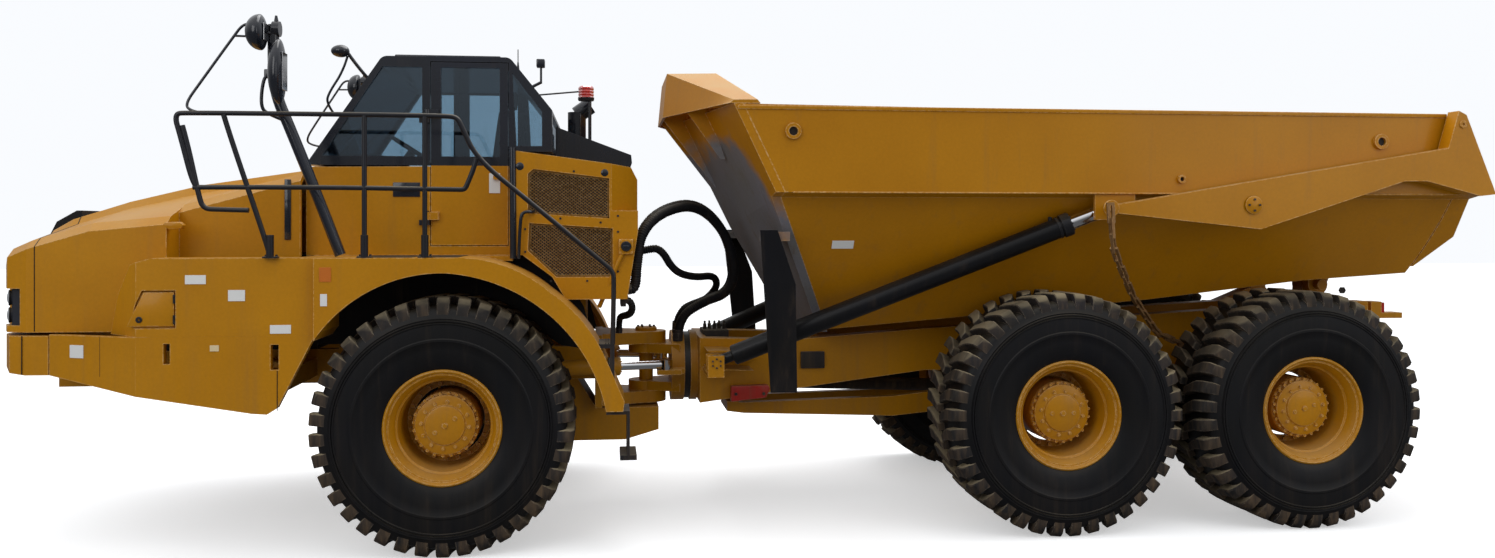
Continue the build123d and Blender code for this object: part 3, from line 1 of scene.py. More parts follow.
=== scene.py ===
# %% [markdown]
# # Dressing an articulated dump truck
# The frame below holds the truck's solids at their real size: every plate, pin and cylinder is
# already where it belongs. This lesson adds what the eye reads as real: rubber with a tread,
# painted steel with dust and worn edges, glass, mesh, chains, hoses, a cab that someone sits in.
# Nothing here moves or resizes a solid. A new piece either stands beside the solids or takes the
# place of one that it covers.

# %% Load the frame
import json
from math import cos, radians, sin, sqrt, tau

import bmesh
import bpy
from mathutils import Matrix, Vector

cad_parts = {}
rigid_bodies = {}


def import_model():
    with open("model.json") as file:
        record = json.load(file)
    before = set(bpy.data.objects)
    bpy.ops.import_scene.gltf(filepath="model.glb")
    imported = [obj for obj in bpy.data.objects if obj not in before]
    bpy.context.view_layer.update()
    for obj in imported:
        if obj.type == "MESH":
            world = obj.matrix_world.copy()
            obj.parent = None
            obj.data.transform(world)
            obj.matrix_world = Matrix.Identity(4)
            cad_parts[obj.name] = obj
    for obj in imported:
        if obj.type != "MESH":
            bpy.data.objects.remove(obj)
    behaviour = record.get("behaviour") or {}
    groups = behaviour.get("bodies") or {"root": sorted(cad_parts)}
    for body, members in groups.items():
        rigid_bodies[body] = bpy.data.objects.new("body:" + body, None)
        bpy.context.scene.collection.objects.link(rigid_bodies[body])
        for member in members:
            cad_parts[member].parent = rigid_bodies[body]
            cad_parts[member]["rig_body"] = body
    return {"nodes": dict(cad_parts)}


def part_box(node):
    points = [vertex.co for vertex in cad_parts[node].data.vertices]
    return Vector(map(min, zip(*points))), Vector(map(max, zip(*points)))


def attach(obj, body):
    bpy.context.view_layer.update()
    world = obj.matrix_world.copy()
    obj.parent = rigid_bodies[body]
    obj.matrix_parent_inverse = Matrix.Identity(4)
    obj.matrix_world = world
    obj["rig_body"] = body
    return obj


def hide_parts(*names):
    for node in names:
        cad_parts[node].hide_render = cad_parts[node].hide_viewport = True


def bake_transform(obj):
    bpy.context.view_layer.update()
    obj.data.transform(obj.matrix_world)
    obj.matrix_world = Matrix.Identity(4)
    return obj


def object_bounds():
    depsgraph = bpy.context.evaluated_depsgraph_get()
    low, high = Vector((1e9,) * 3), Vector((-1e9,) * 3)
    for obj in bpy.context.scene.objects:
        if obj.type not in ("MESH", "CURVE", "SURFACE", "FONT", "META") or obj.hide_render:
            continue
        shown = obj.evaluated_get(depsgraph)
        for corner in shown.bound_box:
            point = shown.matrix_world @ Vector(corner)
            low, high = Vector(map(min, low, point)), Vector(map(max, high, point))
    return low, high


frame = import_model()
nodes = frame["nodes"]
cad_low, cad_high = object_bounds()
scene = bpy.context.scene
print("solids span", [round(value, 3) for value in cad_high - cad_low])

# %% [markdown]
# ## The camera
# The picture is taken from the truck's left side, a little ahead of its middle, at about eye
# height on a step. The lens is wide, because the camera stands close. A small downward shift puts
# the horizon above the middle of the picture without tilting the camera, so uprights stay upright.

# %% Camera
FRONT_AXLE_X = (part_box("rim_front_left")[0].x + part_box("rim_front_left")[1].x) / 2
camera_data = bpy.data.cameras.new("view_from_the_left")
camera_data.lens = 27.86
camera_data.sensor_width = 36.0
camera_data.shift_y = -0.034
camera = bpy.data.objects.new("view_from_the_left", camera_data)
camera.location = (FRONT_AXLE_X + 1.136, -10.0, 2.327)
camera.rotation_euler = (radians(90), 0, radians(-7))
scene.collection.objects.link(camera)
scene.camera = camera

# %% [markdown]
# ## Helpers for modelling
# A piece is modelled in a bmesh, at its real place in metres, so its object stays at the origin.
# Small tools put a finished bmesh into the scene, place a shape, and round its edges.

# %% Modelling helpers


def place(piece_mesh, name, body, *materials, smooth=None):
    """Put a finished bmesh into the scene as a piece that rides on a body, if one is given."""
    mesh = bpy.data.meshes.new(name)
    piece_mesh.to_mesh(mesh)
    piece_mesh.free()
    for material in materials:
        mesh.materials.append(material)
    piece = bpy.data.objects.new(name, mesh)
    scene.collection.objects.link(piece)
    if smooth is not None:
        mesh.shade_smooth()
        mesh.set_sharp_from_angle(angle=radians(smooth))
    if body:
        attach(piece, body)
    return piece


def frame_at(origin, forward, up=(0, 0, 1)):
    """A matrix whose Z runs along forward and whose X is as near to up as it can be."""
    z_axis = Vector(forward).normalized()
    x_axis = Vector(up) - z_axis * z_axis.dot(Vector(up))
    if x_axis.length < 1e-4:
        x_axis = Vector((1, 0, 0)) - z_axis * z_axis.x
    x_axis.normalize()
    y_axis = z_axis.cross(x_axis)
    turn = Matrix((x_axis, y_axis, z_axis)).transposed().to_4x4()
    return Matrix.Translation(Vector(origin)) @ turn


def add_box(shape, low, high, bevel=0.0, material=0):
    """A box between two corners, with rounded edges when bevel is above zero."""
    size = Vector(high) - Vector(low)
    middle = (Vector(high) + Vector(low)) / 2
    grow = Matrix.Translation(middle) @ Matrix.Diagonal((*size, 1))
    made = bmesh.ops.create_cube(shape, size=1, matrix=grow)
    return finish_part(shape, made["verts"], bevel, material)


def finish_part(shape, verts, bevel, material):
    """Bevel the part that these verts belong to, and give its faces a material."""
    edges = list({edge for vert in verts for edge in vert.link_edges})
    faces = {face for vert in verts for face in vert.link_faces}
    for face in faces:
        face.material_index = material
    if bevel > 0:
        bmesh.ops.bevel(shape, geom=edges, offset=bevel, offset_type="OFFSET", affect="EDGES",
                        segments=2, profile=0.5, material=-1, clamp_overlap=True)
    return verts


def add_rod(shape, start, end, radius, sides=16, material=0, radius_end=None):
    """A round bar between two points."""
    axis = Vector(end) - Vector(start)
    matrix = frame_at(Vector(start) + axis / 2, axis)
    made = bmesh.ops.create_cone(
        shape, cap_ends=True, segments=sides, radius1=radius,
        radius2=radius if radius_end is None else radius_end, depth=axis.length, matrix=matrix)
    for face in {face for vert in made["verts"] for face in vert.link_faces}:
        face.material_index = material
    return made["verts"]


def add_turned(shape, profile, matrix, steps=64, material=0):
    """A surface turned round the matrix's Z axis from (radius, height) points."""
    before = set(shape.verts)
    verts = [shape.verts.new((radius, 0, height)) for radius, height in profile]
    edges = [shape.edges.new(pair) for pair in zip(verts, verts[1:])]
    bmesh.ops.spin(shape, geom=verts + edges, cent=(0, 0, 0), axis=(0, 0, 1), dvec=(0, 0, 0),
                   angle=tau, steps=steps, use_merge=True)
    ring = [vert for vert in shape.verts if vert not in before]
    bmesh.ops.remove_doubles(shape, verts=ring, dist=1e-6)
    ring = [vert for vert in shape.verts if vert not in before]
    bmesh.ops.transform(shape, matrix=matrix, verts=ring)
    for vert in ring:
        for face in vert.link_faces:
            face.material_index = material
    return ring


def outward(shape):
    """Make every face point out of its closed shell."""
    bmesh.ops.recalc_face_normals(shape, faces=shape.faces)
    return shape


def pour(source, target):
    """Move everything from one bmesh into another."""
    spare = bpy.data.meshes.new("spare")
    source.to_mesh(spare)
    source.free()
    target.from_mesh(spare)
    bpy.data.meshes.remove(spare)


def mirrored_side(shape):
    """Add the right-hand twin of a left-hand shape."""
    everything = shape.verts[:] + shape.edges[:] + shape.faces[:]
    bmesh.ops.mirror(shape, geom=everything, matrix=Matrix.Identity(4), merge_dist=-1, axis="Y")
    bmesh.ops.recalc_face_normals(shape, faces=shape.faces)
    return shape


print("helpers ready")

# %% [markdown]
# ## Paint that has worked outdoors
# One group of shader nodes does the weathering for every material. It reads three things from the
# surface itself: which way it faces (dust settles on top), how high it is (mud reaches the low
# parts), and where its edges are (the Bevel node bends the normal there, so the two normals
# differ). The edges take a paler colour, partly wear and partly a painted highlight. Each
# material then only says how much of each it wants.

# %% Shader helpers


def add_node(tree, kind, inputs=None, **settings):
    """Add a shader node; each input is a plain value or the output that feeds it."""
    made = tree.nodes.new(kind)
    for name, value in settings.items():
        setattr(made, name, value)
    for name, value in (inputs or {}).items():
        if isinstance(value, bpy.types.NodeSocket):
            tree.links.new(value, made.inputs[name])
        else:
            made.inputs[name].default_value = value
    return made


def calc(tree, operation, first, second=0.0):
    """A Math node's result, kept between 0 and 1."""
    return add_node(tree, "ShaderNodeMath", {0: first, 1: second}, operation=operation,
                    use_clamp=True).outputs[0]


def ramp(tree, value, low, high, bottom=0.0, top=1.0):
    """Map a value from one span to another, held at both ends."""
    return add_node(tree, "ShaderNodeMapRange",
                    {"Value": value, "From Min": low, "From Max": high,
                     "To Min": bottom, "To Max": top}).outputs[0]


def mix(tree, share, first, second, blend="MIX"):
    """Mix two colours."""
    return add_node(tree, "ShaderNodeMix", {0: share, 6: first, 7: second},
                    data_type="RGBA", blend_type=blend).outputs[2]


def noise(tree, where, scale, detail=4.0, roughness=0.55):
    """A Noise Texture's value."""
    return add_node(tree, "ShaderNodeTexNoise",
                    {"Vector": where, "Scale": scale, "Detail": detail,
                     "Roughness": roughness}).outputs[0]


def new_group(name, inputs, outputs):
    """A node group with typed sockets; returns it with what it is given and what it gives."""
    group = bpy.data.node_groups.new(name, "ShaderNodeTree")
    for label, kind, value in inputs:
        socket = group.interface.new_socket(label, in_out="INPUT", socket_type="NodeSocket" + kind)
        if value is not None:
            socket.default_value = value
    for label, kind in outputs:
        group.interface.new_socket(label, in_out="OUTPUT", socket_type="NodeSocket" + kind)
    given = group.nodes.new("NodeGroupInput").outputs
    result = group.nodes.new("NodeGroupOutput").inputs
    return group, given, result


def empty_material(name):
    """A material with an empty node tree; returns both."""
    material = bpy.data.materials.new(name)
    material.use_nodes = True
    material.node_tree.nodes.clear()
    return material, material.node_tree


def node_of(tree, kind):
    """The first node of a kind in a tree."""
    return next(node for node in tree.nodes if node.bl_idname == kind)


def show_mix(tree, share, first, second, out):
    """Show a mix of two shader nodes at a material's output node."""
    both = add_node(tree, "ShaderNodeMixShader", {0: share, 1: first.outputs[0],
                                                  2: second.outputs[0]})
    tree.links.new(both.outputs[0], out.inputs[0])


# %% The weathering group
DUST = (0.44, 0.36, 0.22, 1)
MUD = (0.16, 0.105, 0.06, 1)


def build_weathering():
    """Adds fading, dust, mud, streaks and worn edges to a plain colour; the edges' paler colour is
    partly wear and partly a painted highlight.
    """
    group, given, result = new_group(
        "weathering",
        [("Color", "Color", (0.5, 0.5, 0.5, 1)), ("Roughness", "Float", 0.4),
         ("Metallic", "Float", 0.0), ("Coat", "Float", 0.0), ("Dust", "Float", 0.5),
         ("Mud", "Float", 0.5), ("Streaks", "Float", 0.3), ("Wear", "Float", 0.4),
         ("Wear Color", "Color", (0.55, 0.5, 0.42, 1)), ("Bump", "Float", 0.1)],
        [("Shader", "Shader")])
    surface = add_node(group, "ShaderNodeTexCoord")
    where, facing = surface.outputs["Object"], surface.outputs["Normal"]
    height = add_node(group, "ShaderNodeSeparateXYZ", {0: where}).outputs[2]
    up = add_node(group, "ShaderNodeSeparateXYZ", {0: facing}).outputs[2]
    cloud = noise(group, where, 1.7, 6.0)
    speck = noise(group, where, 46.0, 3.0)
    stretched = add_node(group, "ShaderNodeVectorMath", {0: where, 1: (7.0, 7.0, 0.5)},
                         operation="MULTIPLY").outputs[0]
    run = noise(group, stretched, 1.6, 5.0, 0.65)

    paler = mix(group, 1.0, given["Color"], (1.25, 1.32, 2.0, 1), "MULTIPLY")
    faded = mix(group, ramp(group, cloud, 0.35, 0.75, 0.0, 0.45), given["Color"], paler)
    shade = ramp(group, speck, 0.2, 0.8, 0.93, 1.05)
    toned = mix(group, 1.0, faded, shade, "MULTIPLY")

    settled = calc(group, "MULTIPLY", ramp(group, up, 0.3, 0.95), ramp(group, cloud, 0.3, 0.62))
    settled = calc(group, "MULTIPLY", settled, given["Dust"])
    splash = calc(group, "MULTIPLY", ramp(group, height, 2.1, 0.4), ramp(group, run, 0.38, 0.7))
    splash = calc(group, "MULTIPLY", splash, given["Mud"])
    upright = ramp(group, up, 0.5, 0.1)
    streak = calc(group, "MULTIPLY", ramp(group, run, 0.56, 0.72), upright)
    streak = calc(group, "MULTIPLY", streak, given["Streaks"])

    # Edge mask: the edges take the wear colour, partly real wear and partly a painted highlight.
    bent = add_node(group, "ShaderNodeBevel", {"Radius": 0.012}, samples=4).outputs[0]
    straight = add_node(group, "ShaderNodeNewGeometry").outputs["Normal"]
    match = add_node(group, "ShaderNodeVectorMath", {0: bent, 1: straight},
                     operation="DOT_PRODUCT").outputs["Value"]
    edge = calc(group, "MULTIPLY", ramp(group, match, 0.985, 0.86), ramp(group, speck, 0.36, 0.6))
    edge = calc(group, "MULTIPLY", edge, given["Wear"])

    colour = mix(group, streak, toned, MUD)
    colour = mix(group, splash, colour, MUD)
    colour = mix(group, settled, colour, DUST)
    colour = mix(group, edge, colour, given["Wear Color"])
    dirty = calc(group, "MAXIMUM", settled, splash)
    rough = add_node(group, "ShaderNodeMix", {0: dirty, 2: given["Roughness"], 3: 0.85}).outputs[0]
    relief = calc(group, "ADD", calc(group, "MULTIPLY", speck, 0.5),
                  calc(group, "MULTIPLY", dirty, 0.4))
    bump = add_node(group, "ShaderNodeBump", {"Strength": given["Bump"], "Distance": 0.002,
                                              "Height": relief}).outputs[0]
    coat = calc(group, "MULTIPLY", given["Coat"], calc(group, "SUBTRACT", 1.0, dirty))
    skin = add_node(group, "ShaderNodeBsdfPrincipled",
                    {"Base Color": colour, "Roughness": rough, "Metallic": given["Metallic"],
                     "Specular IOR Level": 0.2, "Coat Weight": coat, "Coat Roughness": 0.12,
                     "Normal": bump})
    group.links.new(skin.outputs[0], result["Shader"])
    return group


weathering = build_weathering()


def weathered(name, colour, roughness, **amounts):
    """A material made of the weathering group with its own amounts."""
    material, tree = empty_material(name)
    skin = add_node(tree, "ShaderNodeGroup", node_tree=weathering)
    skin.inputs["Color"].default_value = (*colour, 1)
    skin.inputs["Roughness"].default_value = roughness
    for label, value in amounts.items():
        skin.inputs[label.replace("_", " ").title()].default_value = value
    out = add_node(tree, "ShaderNodeOutputMaterial")
    tree.links.new(skin.outputs[0], out.inputs[0])
    return material


def plain(name, colour, roughness, **inputs):
    """A material made of one Principled node."""
    material = bpy.data.materials.new(name)
    material.use_nodes = True
    skin = material.node_tree.nodes["Principled BSDF"]
    skin.inputs["Base Color"].default_value = (*colour, 1)
    skin.inputs["Roughness"].default_value = roughness
    for label, value in inputs.items():
        skin.inputs[label.replace("_", " ").title()].default_value = value
    return material


# %% The materials
# Each wear colour is paler than its paint; along edges it is partly wear and partly a painted
# highlight.
WORN_BLACK = (0.14, 0.13, 0.12, 1)
WORN_RUBBER = (0.06, 0.055, 0.05, 1)
yellow_paint = weathered("yellow paint", (0.49, 0.205, 0.002), 0.36, coat=0.15, dust=0.3, mud=0.22,
                         streaks=0.1, wear=0.55, wear_color=(0.95, 0.72, 0.4, 1), bump=0.05)
bed_paint = weathered("worked yellow paint", (0.47, 0.19, 0.002), 0.4, coat=0.1, dust=0.5,
                      mud=0.3, streaks=0.16, wear=0.75, wear_color=(0.9, 0.66, 0.36, 1), bump=0.12)
black_gloss = weathered("black gloss paint", (0.012, 0.014, 0.019), 0.22, coat=0.8, dust=0.12,
                        mud=0.3, streaks=0.05, wear=0.25, wear_color=(0.12, 0.12, 0.13, 1),
                        bump=0.02)
black_paint = weathered("black paint", (0.014, 0.014, 0.016), 0.42, coat=0.2, dust=0.3, mud=0.4,
                        streaks=0.15, wear=0.35, wear_color=WORN_BLACK, bump=0.08)
dark_iron = weathered("dark iron", (0.035, 0.03, 0.026), 0.6, metallic=0.3, dust=0.5, mud=0.7,
                      streaks=0.4, wear=0.5, wear_color=(0.25, 0.2, 0.16, 1), bump=0.3)
sidewall = weathered("tyre sidewall", (0.006, 0.006, 0.0065), 0.5, dust=0.1, mud=0.05, streaks=0.06,
                     wear=0.1, wear_color=WORN_RUBBER, bump=0.2)
tread_rubber = weathered("tread rubber", (0.022, 0.02, 0.018), 0.8, dust=0.85, mud=0.75,
                         streaks=0.4, wear=0.85, wear_color=(0.24, 0.19, 0.14, 1), bump=0.7)
black_rubber = weathered("black rubber", (0.008, 0.008, 0.009), 0.55, dust=0.2, mud=0.2,
                         streaks=0.15, wear=0.2, wear_color=WORN_RUBBER, bump=0.15)
cylinder_black = weathered("cylinder black", (0.007, 0.007, 0.008), 0.4, coat=0.15, dust=0.06,
                           mud=0.06, streaks=0.08, wear=0.25, wear_color=WORN_BLACK, bump=0.05)
mesh_paint = weathered("mesh paint", (0.17, 0.078, 0.008), 0.55, dust=0.5, mud=0.1, streaks=0.3,
                       wear=0.6, wear_color=(0.62, 0.42, 0.2, 1), bump=0.3)
chrome = plain("chromed rod", (0.75, 0.75, 0.76), 0.12, metallic=1.0)
chain_steel = weathered("chain steel", (0.3, 0.16, 0.06), 0.55, metallic=0.7, dust=0.4, mud=0.3,
                        streaks=0.3, wear=0.7, wear_color=(0.6, 0.42, 0.2, 1), bump=0.3)
seat_cloth = weathered("seat cloth", (0.035, 0.036, 0.04), 0.9, dust=0.1, mud=0.0, streaks=0.0,
                       wear=0.0, bump=0.5)
dark_plastic = weathered("dark plastic", (0.025, 0.026, 0.028), 0.6, dust=0.15, mud=0.0,
                         streaks=0.0, wear=0.1, wear_color=(0.08, 0.08, 0.08, 1), bump=0.15)
red_lens = plain("red lens", (0.62, 0.02, 0.008), 0.15, coat_weight=1.0, transmission_weight=0.3)
orange_lens = plain("orange lens", (0.8, 0.22, 0.02), 0.15, coat_weight=1.0,
                    transmission_weight=0.3)
clear_lens = plain("clear lens", (0.85, 0.88, 0.9), 0.06, transmission_weight=0.6)
white_plate = plain("blank white plate", (0.8, 0.8, 0.78), 0.4)
cream_plate = plain("blank cream plate", (0.75, 0.6, 0.35), 0.45)
red_paint = weathered("red paint", (0.42, 0.018, 0.01), 0.4, coat=0.3, dust=0.4, mud=0.3,
                      streaks=0.3, wear=0.6, wear_color=(0.6, 0.3, 0.2, 1), bump=0.1)


def tinted_glass_material():
    """Thin glass: mostly see-through, slightly blue, with a clear reflection."""
    material, tree = empty_material("tinted glass")
    through = add_node(tree, "ShaderNodeBsdfTransparent", {"Color": (0.62, 0.72, 0.78, 1)})
    shine = add_node(tree, "ShaderNodeBsdfGlossy", {"Color": (0.8, 0.9, 1.0, 1), "Roughness": 0.02})
    edge = add_node(tree, "ShaderNodeFresnel", {"IOR": 1.6}).outputs[0]
    share = add_node(tree, "ShaderNodeMath", {0: edge, 1: 0.05}, operation="ADD").outputs[0]
    show_mix(tree, share, through, shine, add_node(tree, "ShaderNodeOutputMaterial"))
    return material


tinted_glass = tinted_glass_material()


def two_finishes(name, first, second, share):
    """Two weathered finishes on one piece; share says, from the place, how much is second."""
    material = first.copy()
    material.name = name
    tree = material.node_tree
    first_skin = node_of(tree, "ShaderNodeGroup")
    second_skin = add_node(tree, "ShaderNodeGroup", node_tree=weathering)
    source = node_of(second.node_tree, "ShaderNodeGroup")
    for given, taken in zip(second_skin.inputs, source.inputs):
        given.default_value = taken.default_value
    where = add_node(tree, "ShaderNodeTexCoord").outputs["Object"]
    show_mix(tree, share(tree, where), first_skin, second_skin,
             node_of(tree, "ShaderNodeOutputMaterial"))
    return material


def above_sill(tree, where):
    """1 over the cab's lower shell, 0 below."""
    height = add_node(tree, "ShaderNodeSeparateXYZ", {0: where}).outputs[2]
    return calc(tree, "GREATER_THAN", ramp(tree, height, 0, 10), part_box("cab_base")[1].z / 10)


def scoured(tree, where):
    """Where loading has scoured the headboard: its middle, below the guard's ribs."""
    parts = add_node(tree, "ShaderNodeSeparateXYZ", {0: where}).outputs
    width = add_node(tree, "ShaderNodeMath", {0: parts[1]}, operation="ABSOLUTE").outputs[0]
    wander = ramp(tree, noise(tree, where, 2.2, 5.0), 0.3, 0.7, 0.0, 0.3)
    reach = add_node(tree, "ShaderNodeMath", {0: width, 1: wander}, operation="ADD").outputs[0]
    top = add_node(tree, "ShaderNodeMath", {0: parts[2], 1: wander}, operation="ADD").outputs[0]
    return calc(tree, "MULTIPLY", ramp(tree, reach, 1.66, 1.5), ramp(tree, top, 3.22, 3.08))


door_paint = two_finishes("door paint", yellow_paint, black_gloss, above_sill)
bare_steel = weathered("bare steel", (0.22, 0.21, 0.2), 0.5, metallic=0.3, dust=0.3, mud=0.1,
                       streaks=0.5, wear=0.3, wear_color=(0.5, 0.48, 0.44, 1), bump=0.3)
board_paint = two_finishes("headboard paint", bed_paint, bare_steel, scoured)

# %% [markdown]
# Each solid gets the material of its kind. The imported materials' names say what each node is.

# %% Dress the solids
made_of = (
    (bed_paint, "bed_floor bed_sides spill_guard tailgate"),
    (board_paint, "headboard"),
    (black_gloss, "cab_frame rear_cowl"),
    (door_paint, "door"),
    (dark_plastic, "cab_interior headlamps"),
    (seat_cloth, "seat_cushions"),
    (tinted_glass, "cab_glass door_glass"),
    (mesh_paint, "grilles"),
    (black_paint, "left_rails mirrors bearing_ring door_hinges access_steps"),
    (red_lens, "beacon rear_lamps"),
    (black_rubber, "hood_pod front_flaps"),
    (dark_iron, "engine front_axle"),
)
node_materials = {name: material for material, names in made_of for name in names.split()}
kinds = {
    "tyre": sidewall, "rim": yellow_paint, "steer_barrel": yellow_paint, "steer_rod": chrome,
    "hoist_barrel": cylinder_black, "hoist_rod": chrome, "chain": chain_steel,
}
for name, solid in nodes.items():
    material = node_materials.get(name, yellow_paint)
    for kind, kind_material in kinds.items():
        if name.startswith(kind + "_"):
            material = kind_material
    solid.data.materials.clear()
    solid.data.materials.append(material)
print("materials ready:", len(bpy.data.materials))

# %% [markdown]
# ## More modelling tools
# Stations along the truck are counted from the front axle, as its drawings do. A side panel's
# detail is a flat outline pushed out sideways; a hose or pipe is one smooth NURBS line with a
# tube round the points that Blender reads from it; a seam is a thin dark bead in the surface.

# %% Places and outlines


def at(u, y, z):
    """A point u metres behind the front axle."""
    return Vector((FRONT_AXLE_X + u, y, z))


def add_prism(shape, outline, y_from, y_to, bevel=0.0, material=0):
    """A plate whose outline is given as (u, z) points, between two widths."""
    near = [shape.verts.new(at(u, y_from, z)) for u, z in outline]
    far = [shape.verts.new(at(u, y_to, z)) for u, z in outline]
    faces = [shape.faces.new(near), shape.faces.new(reversed(far))]
    for i, vert in enumerate(near):
        j = (i + 1) % len(near)
        faces.append(shape.faces.new((near[j], vert, far[i], far[j])))
    bmesh.ops.recalc_face_normals(shape, faces=faces)
    return finish_part(shape, near + far, bevel, material)


def add_side_prism(shape, outline, side, y_in, y_out, bevel=0.0):
    """A plate on one side (-1 left, 1 right), between two distances from the truck's middle."""
    y_low, y_high = sorted((side * y_in, side * y_out))
    add_prism(shape, outline, y_low, y_high, bevel)


def add_plate(shape, middle, normal, across, width, height, wall, bevel=0.0, material=0):
    """A thin plate that lies on a surface with this normal; across is its long direction."""
    z_axis = Vector(normal).normalized()
    x_axis = (Vector(across) - z_axis * z_axis.dot(Vector(across))).normalized()
    turn = Matrix((x_axis, z_axis.cross(x_axis), z_axis)).transposed().to_4x4()
    size = Matrix.Diagonal((width, height, wall, 1))
    made = bmesh.ops.create_cube(shape, size=1, matrix=Matrix.Translation(Vector(middle)) @ turn
                                 @ size)
    return finish_part(shape, made["verts"], bevel, material)


def add_ring(shape, middle, axis, outer, inner, wall, steps=32, material=0):
    """A flat ring or washer round an axis."""
    half = wall / 2
    profile = [(inner, -half), (outer - 0.003, -half), (outer, -half + 0.003),
               (outer, half - 0.003), (outer - 0.003, half), (inner, half), (inner, -half)]
    return add_turned(shape, profile, frame_at(middle, axis), steps, material)


def smooth_line(points, name, resolution=8):
    """The points that a NURBS line with these control points gives."""
    curve = bpy.data.curves.new(name, "CURVE")
    curve.dimensions = "3D"
    spline = curve.splines.new("NURBS")
    spline.points.add(len(points) - 1)
    for knot, point in zip(spline.points, points):
        knot.co = (*point, 1)
    spline.order_u = 3
    spline.use_endpoint_u = True
    spline.resolution_u = resolution
    holder = bpy.data.objects.new(name, curve)
    line = bpy.data.meshes.new_from_object(holder)
    result = [vert.co.copy() for vert in line.vertices]
    bpy.data.objects.remove(holder)
    bpy.data.curves.remove(curve)
    bpy.data.meshes.remove(line)
    return result


def add_tube(shape, line, radius, sides=12, material=0):
    """A closed round tube along a smooth line's points."""
    rings, side_axis = [], None
    for i, point in enumerate(line):
        ahead = (line[min(i + 1, len(line) - 1)] - line[max(i - 1, 0)]).normalized()
        if side_axis is None:
            side_axis = ahead.orthogonal().normalized()
        side_axis = (side_axis - ahead * ahead.dot(side_axis)).normalized()
        other = ahead.cross(side_axis)
        rings.append([shape.verts.new(point + (side_axis * cos(tau * k / sides)
                                               + other * sin(tau * k / sides)) * radius)
                      for k in range(sides)])
    faces = [shape.faces.new(rings[0]), shape.faces.new(reversed(rings[-1]))]
    for first, second in zip(rings, rings[1:]):
        for k in range(sides):
            j = (k + 1) % sides
            faces.append(shape.faces.new((first[k], second[k], second[j], first[j])))
    for face in faces:
        face.material_index = material
    bmesh.ops.recalc_face_normals(shape, faces=faces)


def line_length(line):
    """The length along a line's points."""
    return sum((b - a).length for a, b in zip(line, line[1:]))


print("outline tools ready")

# %% [markdown]
# ## Wheels
# A tyre is a turned carcass with a ring of rubber lugs on each shoulder, half a pitch apart. The
# lug starts on the sidewall as a blunt tooth and bends towards the middle of the tread. A rim is
# turned too: flange, lock ring, the deep barrel, and the hub that stands in it.

# %% Tyres
TYRE_LOW, TYRE_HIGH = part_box("tyre_front_left")
TYRE_RADIUS = (TYRE_HIGH.z - TYRE_LOW.z) / 2
TYRE_HALF = (TYRE_HIGH.y - TYRE_LOW.y) / 2
RIM_LOW, RIM_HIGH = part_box("rim_front_left")
RIM_RADIUS = (RIM_HIGH.z - RIM_LOW.z) / 2
LUGS = 38
LUG_DEPTH = 0.062
WHEEL_TURNS = {"front": 85, "mid": 51, "rear": 68}   # degrees, so no two wheels stand alike


def wheel_matrix(axle, side):
    """The wheel's own frame: Z points outwards along its axle."""
    low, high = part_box(f"tyre_{axle}_{side}")
    outward_y = -1 if side == "left" else 1
    return frame_at((low + high) / 2, (0, outward_y, 0))


def sidewall_profile():
    """Radius and height of the carcass from the bead to the tread's middle."""
    half, out = TYRE_HALF, TYRE_RADIUS
    floor = out - LUG_DEPTH
    points = [(RIM_RADIUS - 0.03, half - 0.085), (RIM_RADIUS + 0.008, half - 0.042),
              (RIM_RADIUS + 0.03, half - 0.03), (RIM_RADIUS + 0.07, half - 0.014)]
    for share, height in ((0.60, -0.004), (0.66, 0.0), (0.668, 0.005), (0.684, 0.005),
                          (0.692, 0.0), (0.75, 0.0), (0.795, -0.003), (0.80, 0.004), (0.808, 0.004),
                          (0.813, -0.005), (0.818, 0.003), (0.826, 0.003), (0.831, -0.008),
                          (0.842, -0.006), (0.85, -0.014)):
        points.append((out * share, half + height - 0.002))
    points += [(out * 0.885, half - 0.026), (out * 0.915, half - 0.044), (floor, half - 0.075),
               (floor + 0.004, 0.0)]
    return points


def add_lug(shape, turn, side, material):
    """One tread lug at an angle round the wheel, on the side where height is side * h."""
    out, half = TYRE_RADIUS, TYRE_HALF
    pitch = tau / LUGS
    # height, base radius, top radius, shift and half width as shares of the pitch
    stations = ((half - 0.022, out * 0.868, out * 0.905, 0.0, 0.30, 0.25),
                (half - 0.040, out * 0.90, out * 0.962, 0.0, 0.33, 0.28),
                (half - 0.072, out * 0.92, out * 0.998, 0.01, 0.34, 0.30),
                (half - 0.17, out - LUG_DEPTH, out, 0.06, 0.33, 0.29),
                (half - 0.25, out - LUG_DEPTH, out, 0.22, 0.29, 0.24),
                (half - 0.345, out - LUG_DEPTH, out * 0.999, 0.48, 0.25, 0.20))
    rings = []
    for height, base, top, shift, wide_base, wide_top in stations:
        ring = []
        for radius, share in ((base, -wide_base), (top, -wide_top), (top, wide_top),
                              (base, wide_base)):
            angle = turn + pitch * (shift + share)
            ring.append(shape.verts.new((radius * cos(angle), radius * sin(angle), side * height)))
        rings.append(ring)
    faces = [shape.faces.new(rings[0]), shape.faces.new(rings[-1])]
    for first, second in zip(rings, rings[1:]):
        for i in range(4):
            j = (i + 1) % 4
            faces.append(shape.faces.new((first[i], first[j], second[j], second[i])))
    for face in faces:
        face.material_index = material
    top_edges = [edge for edge in {edge for face in faces for edge in face.edges}
                 if all(vert.co.xy.length > out * 0.9 for vert in edge.verts)]
    bmesh.ops.bevel(shape, geom=top_edges, offset=0.006, affect="EDGES", segments=1,
                    profile=0.5, material=-1, clamp_overlap=True)


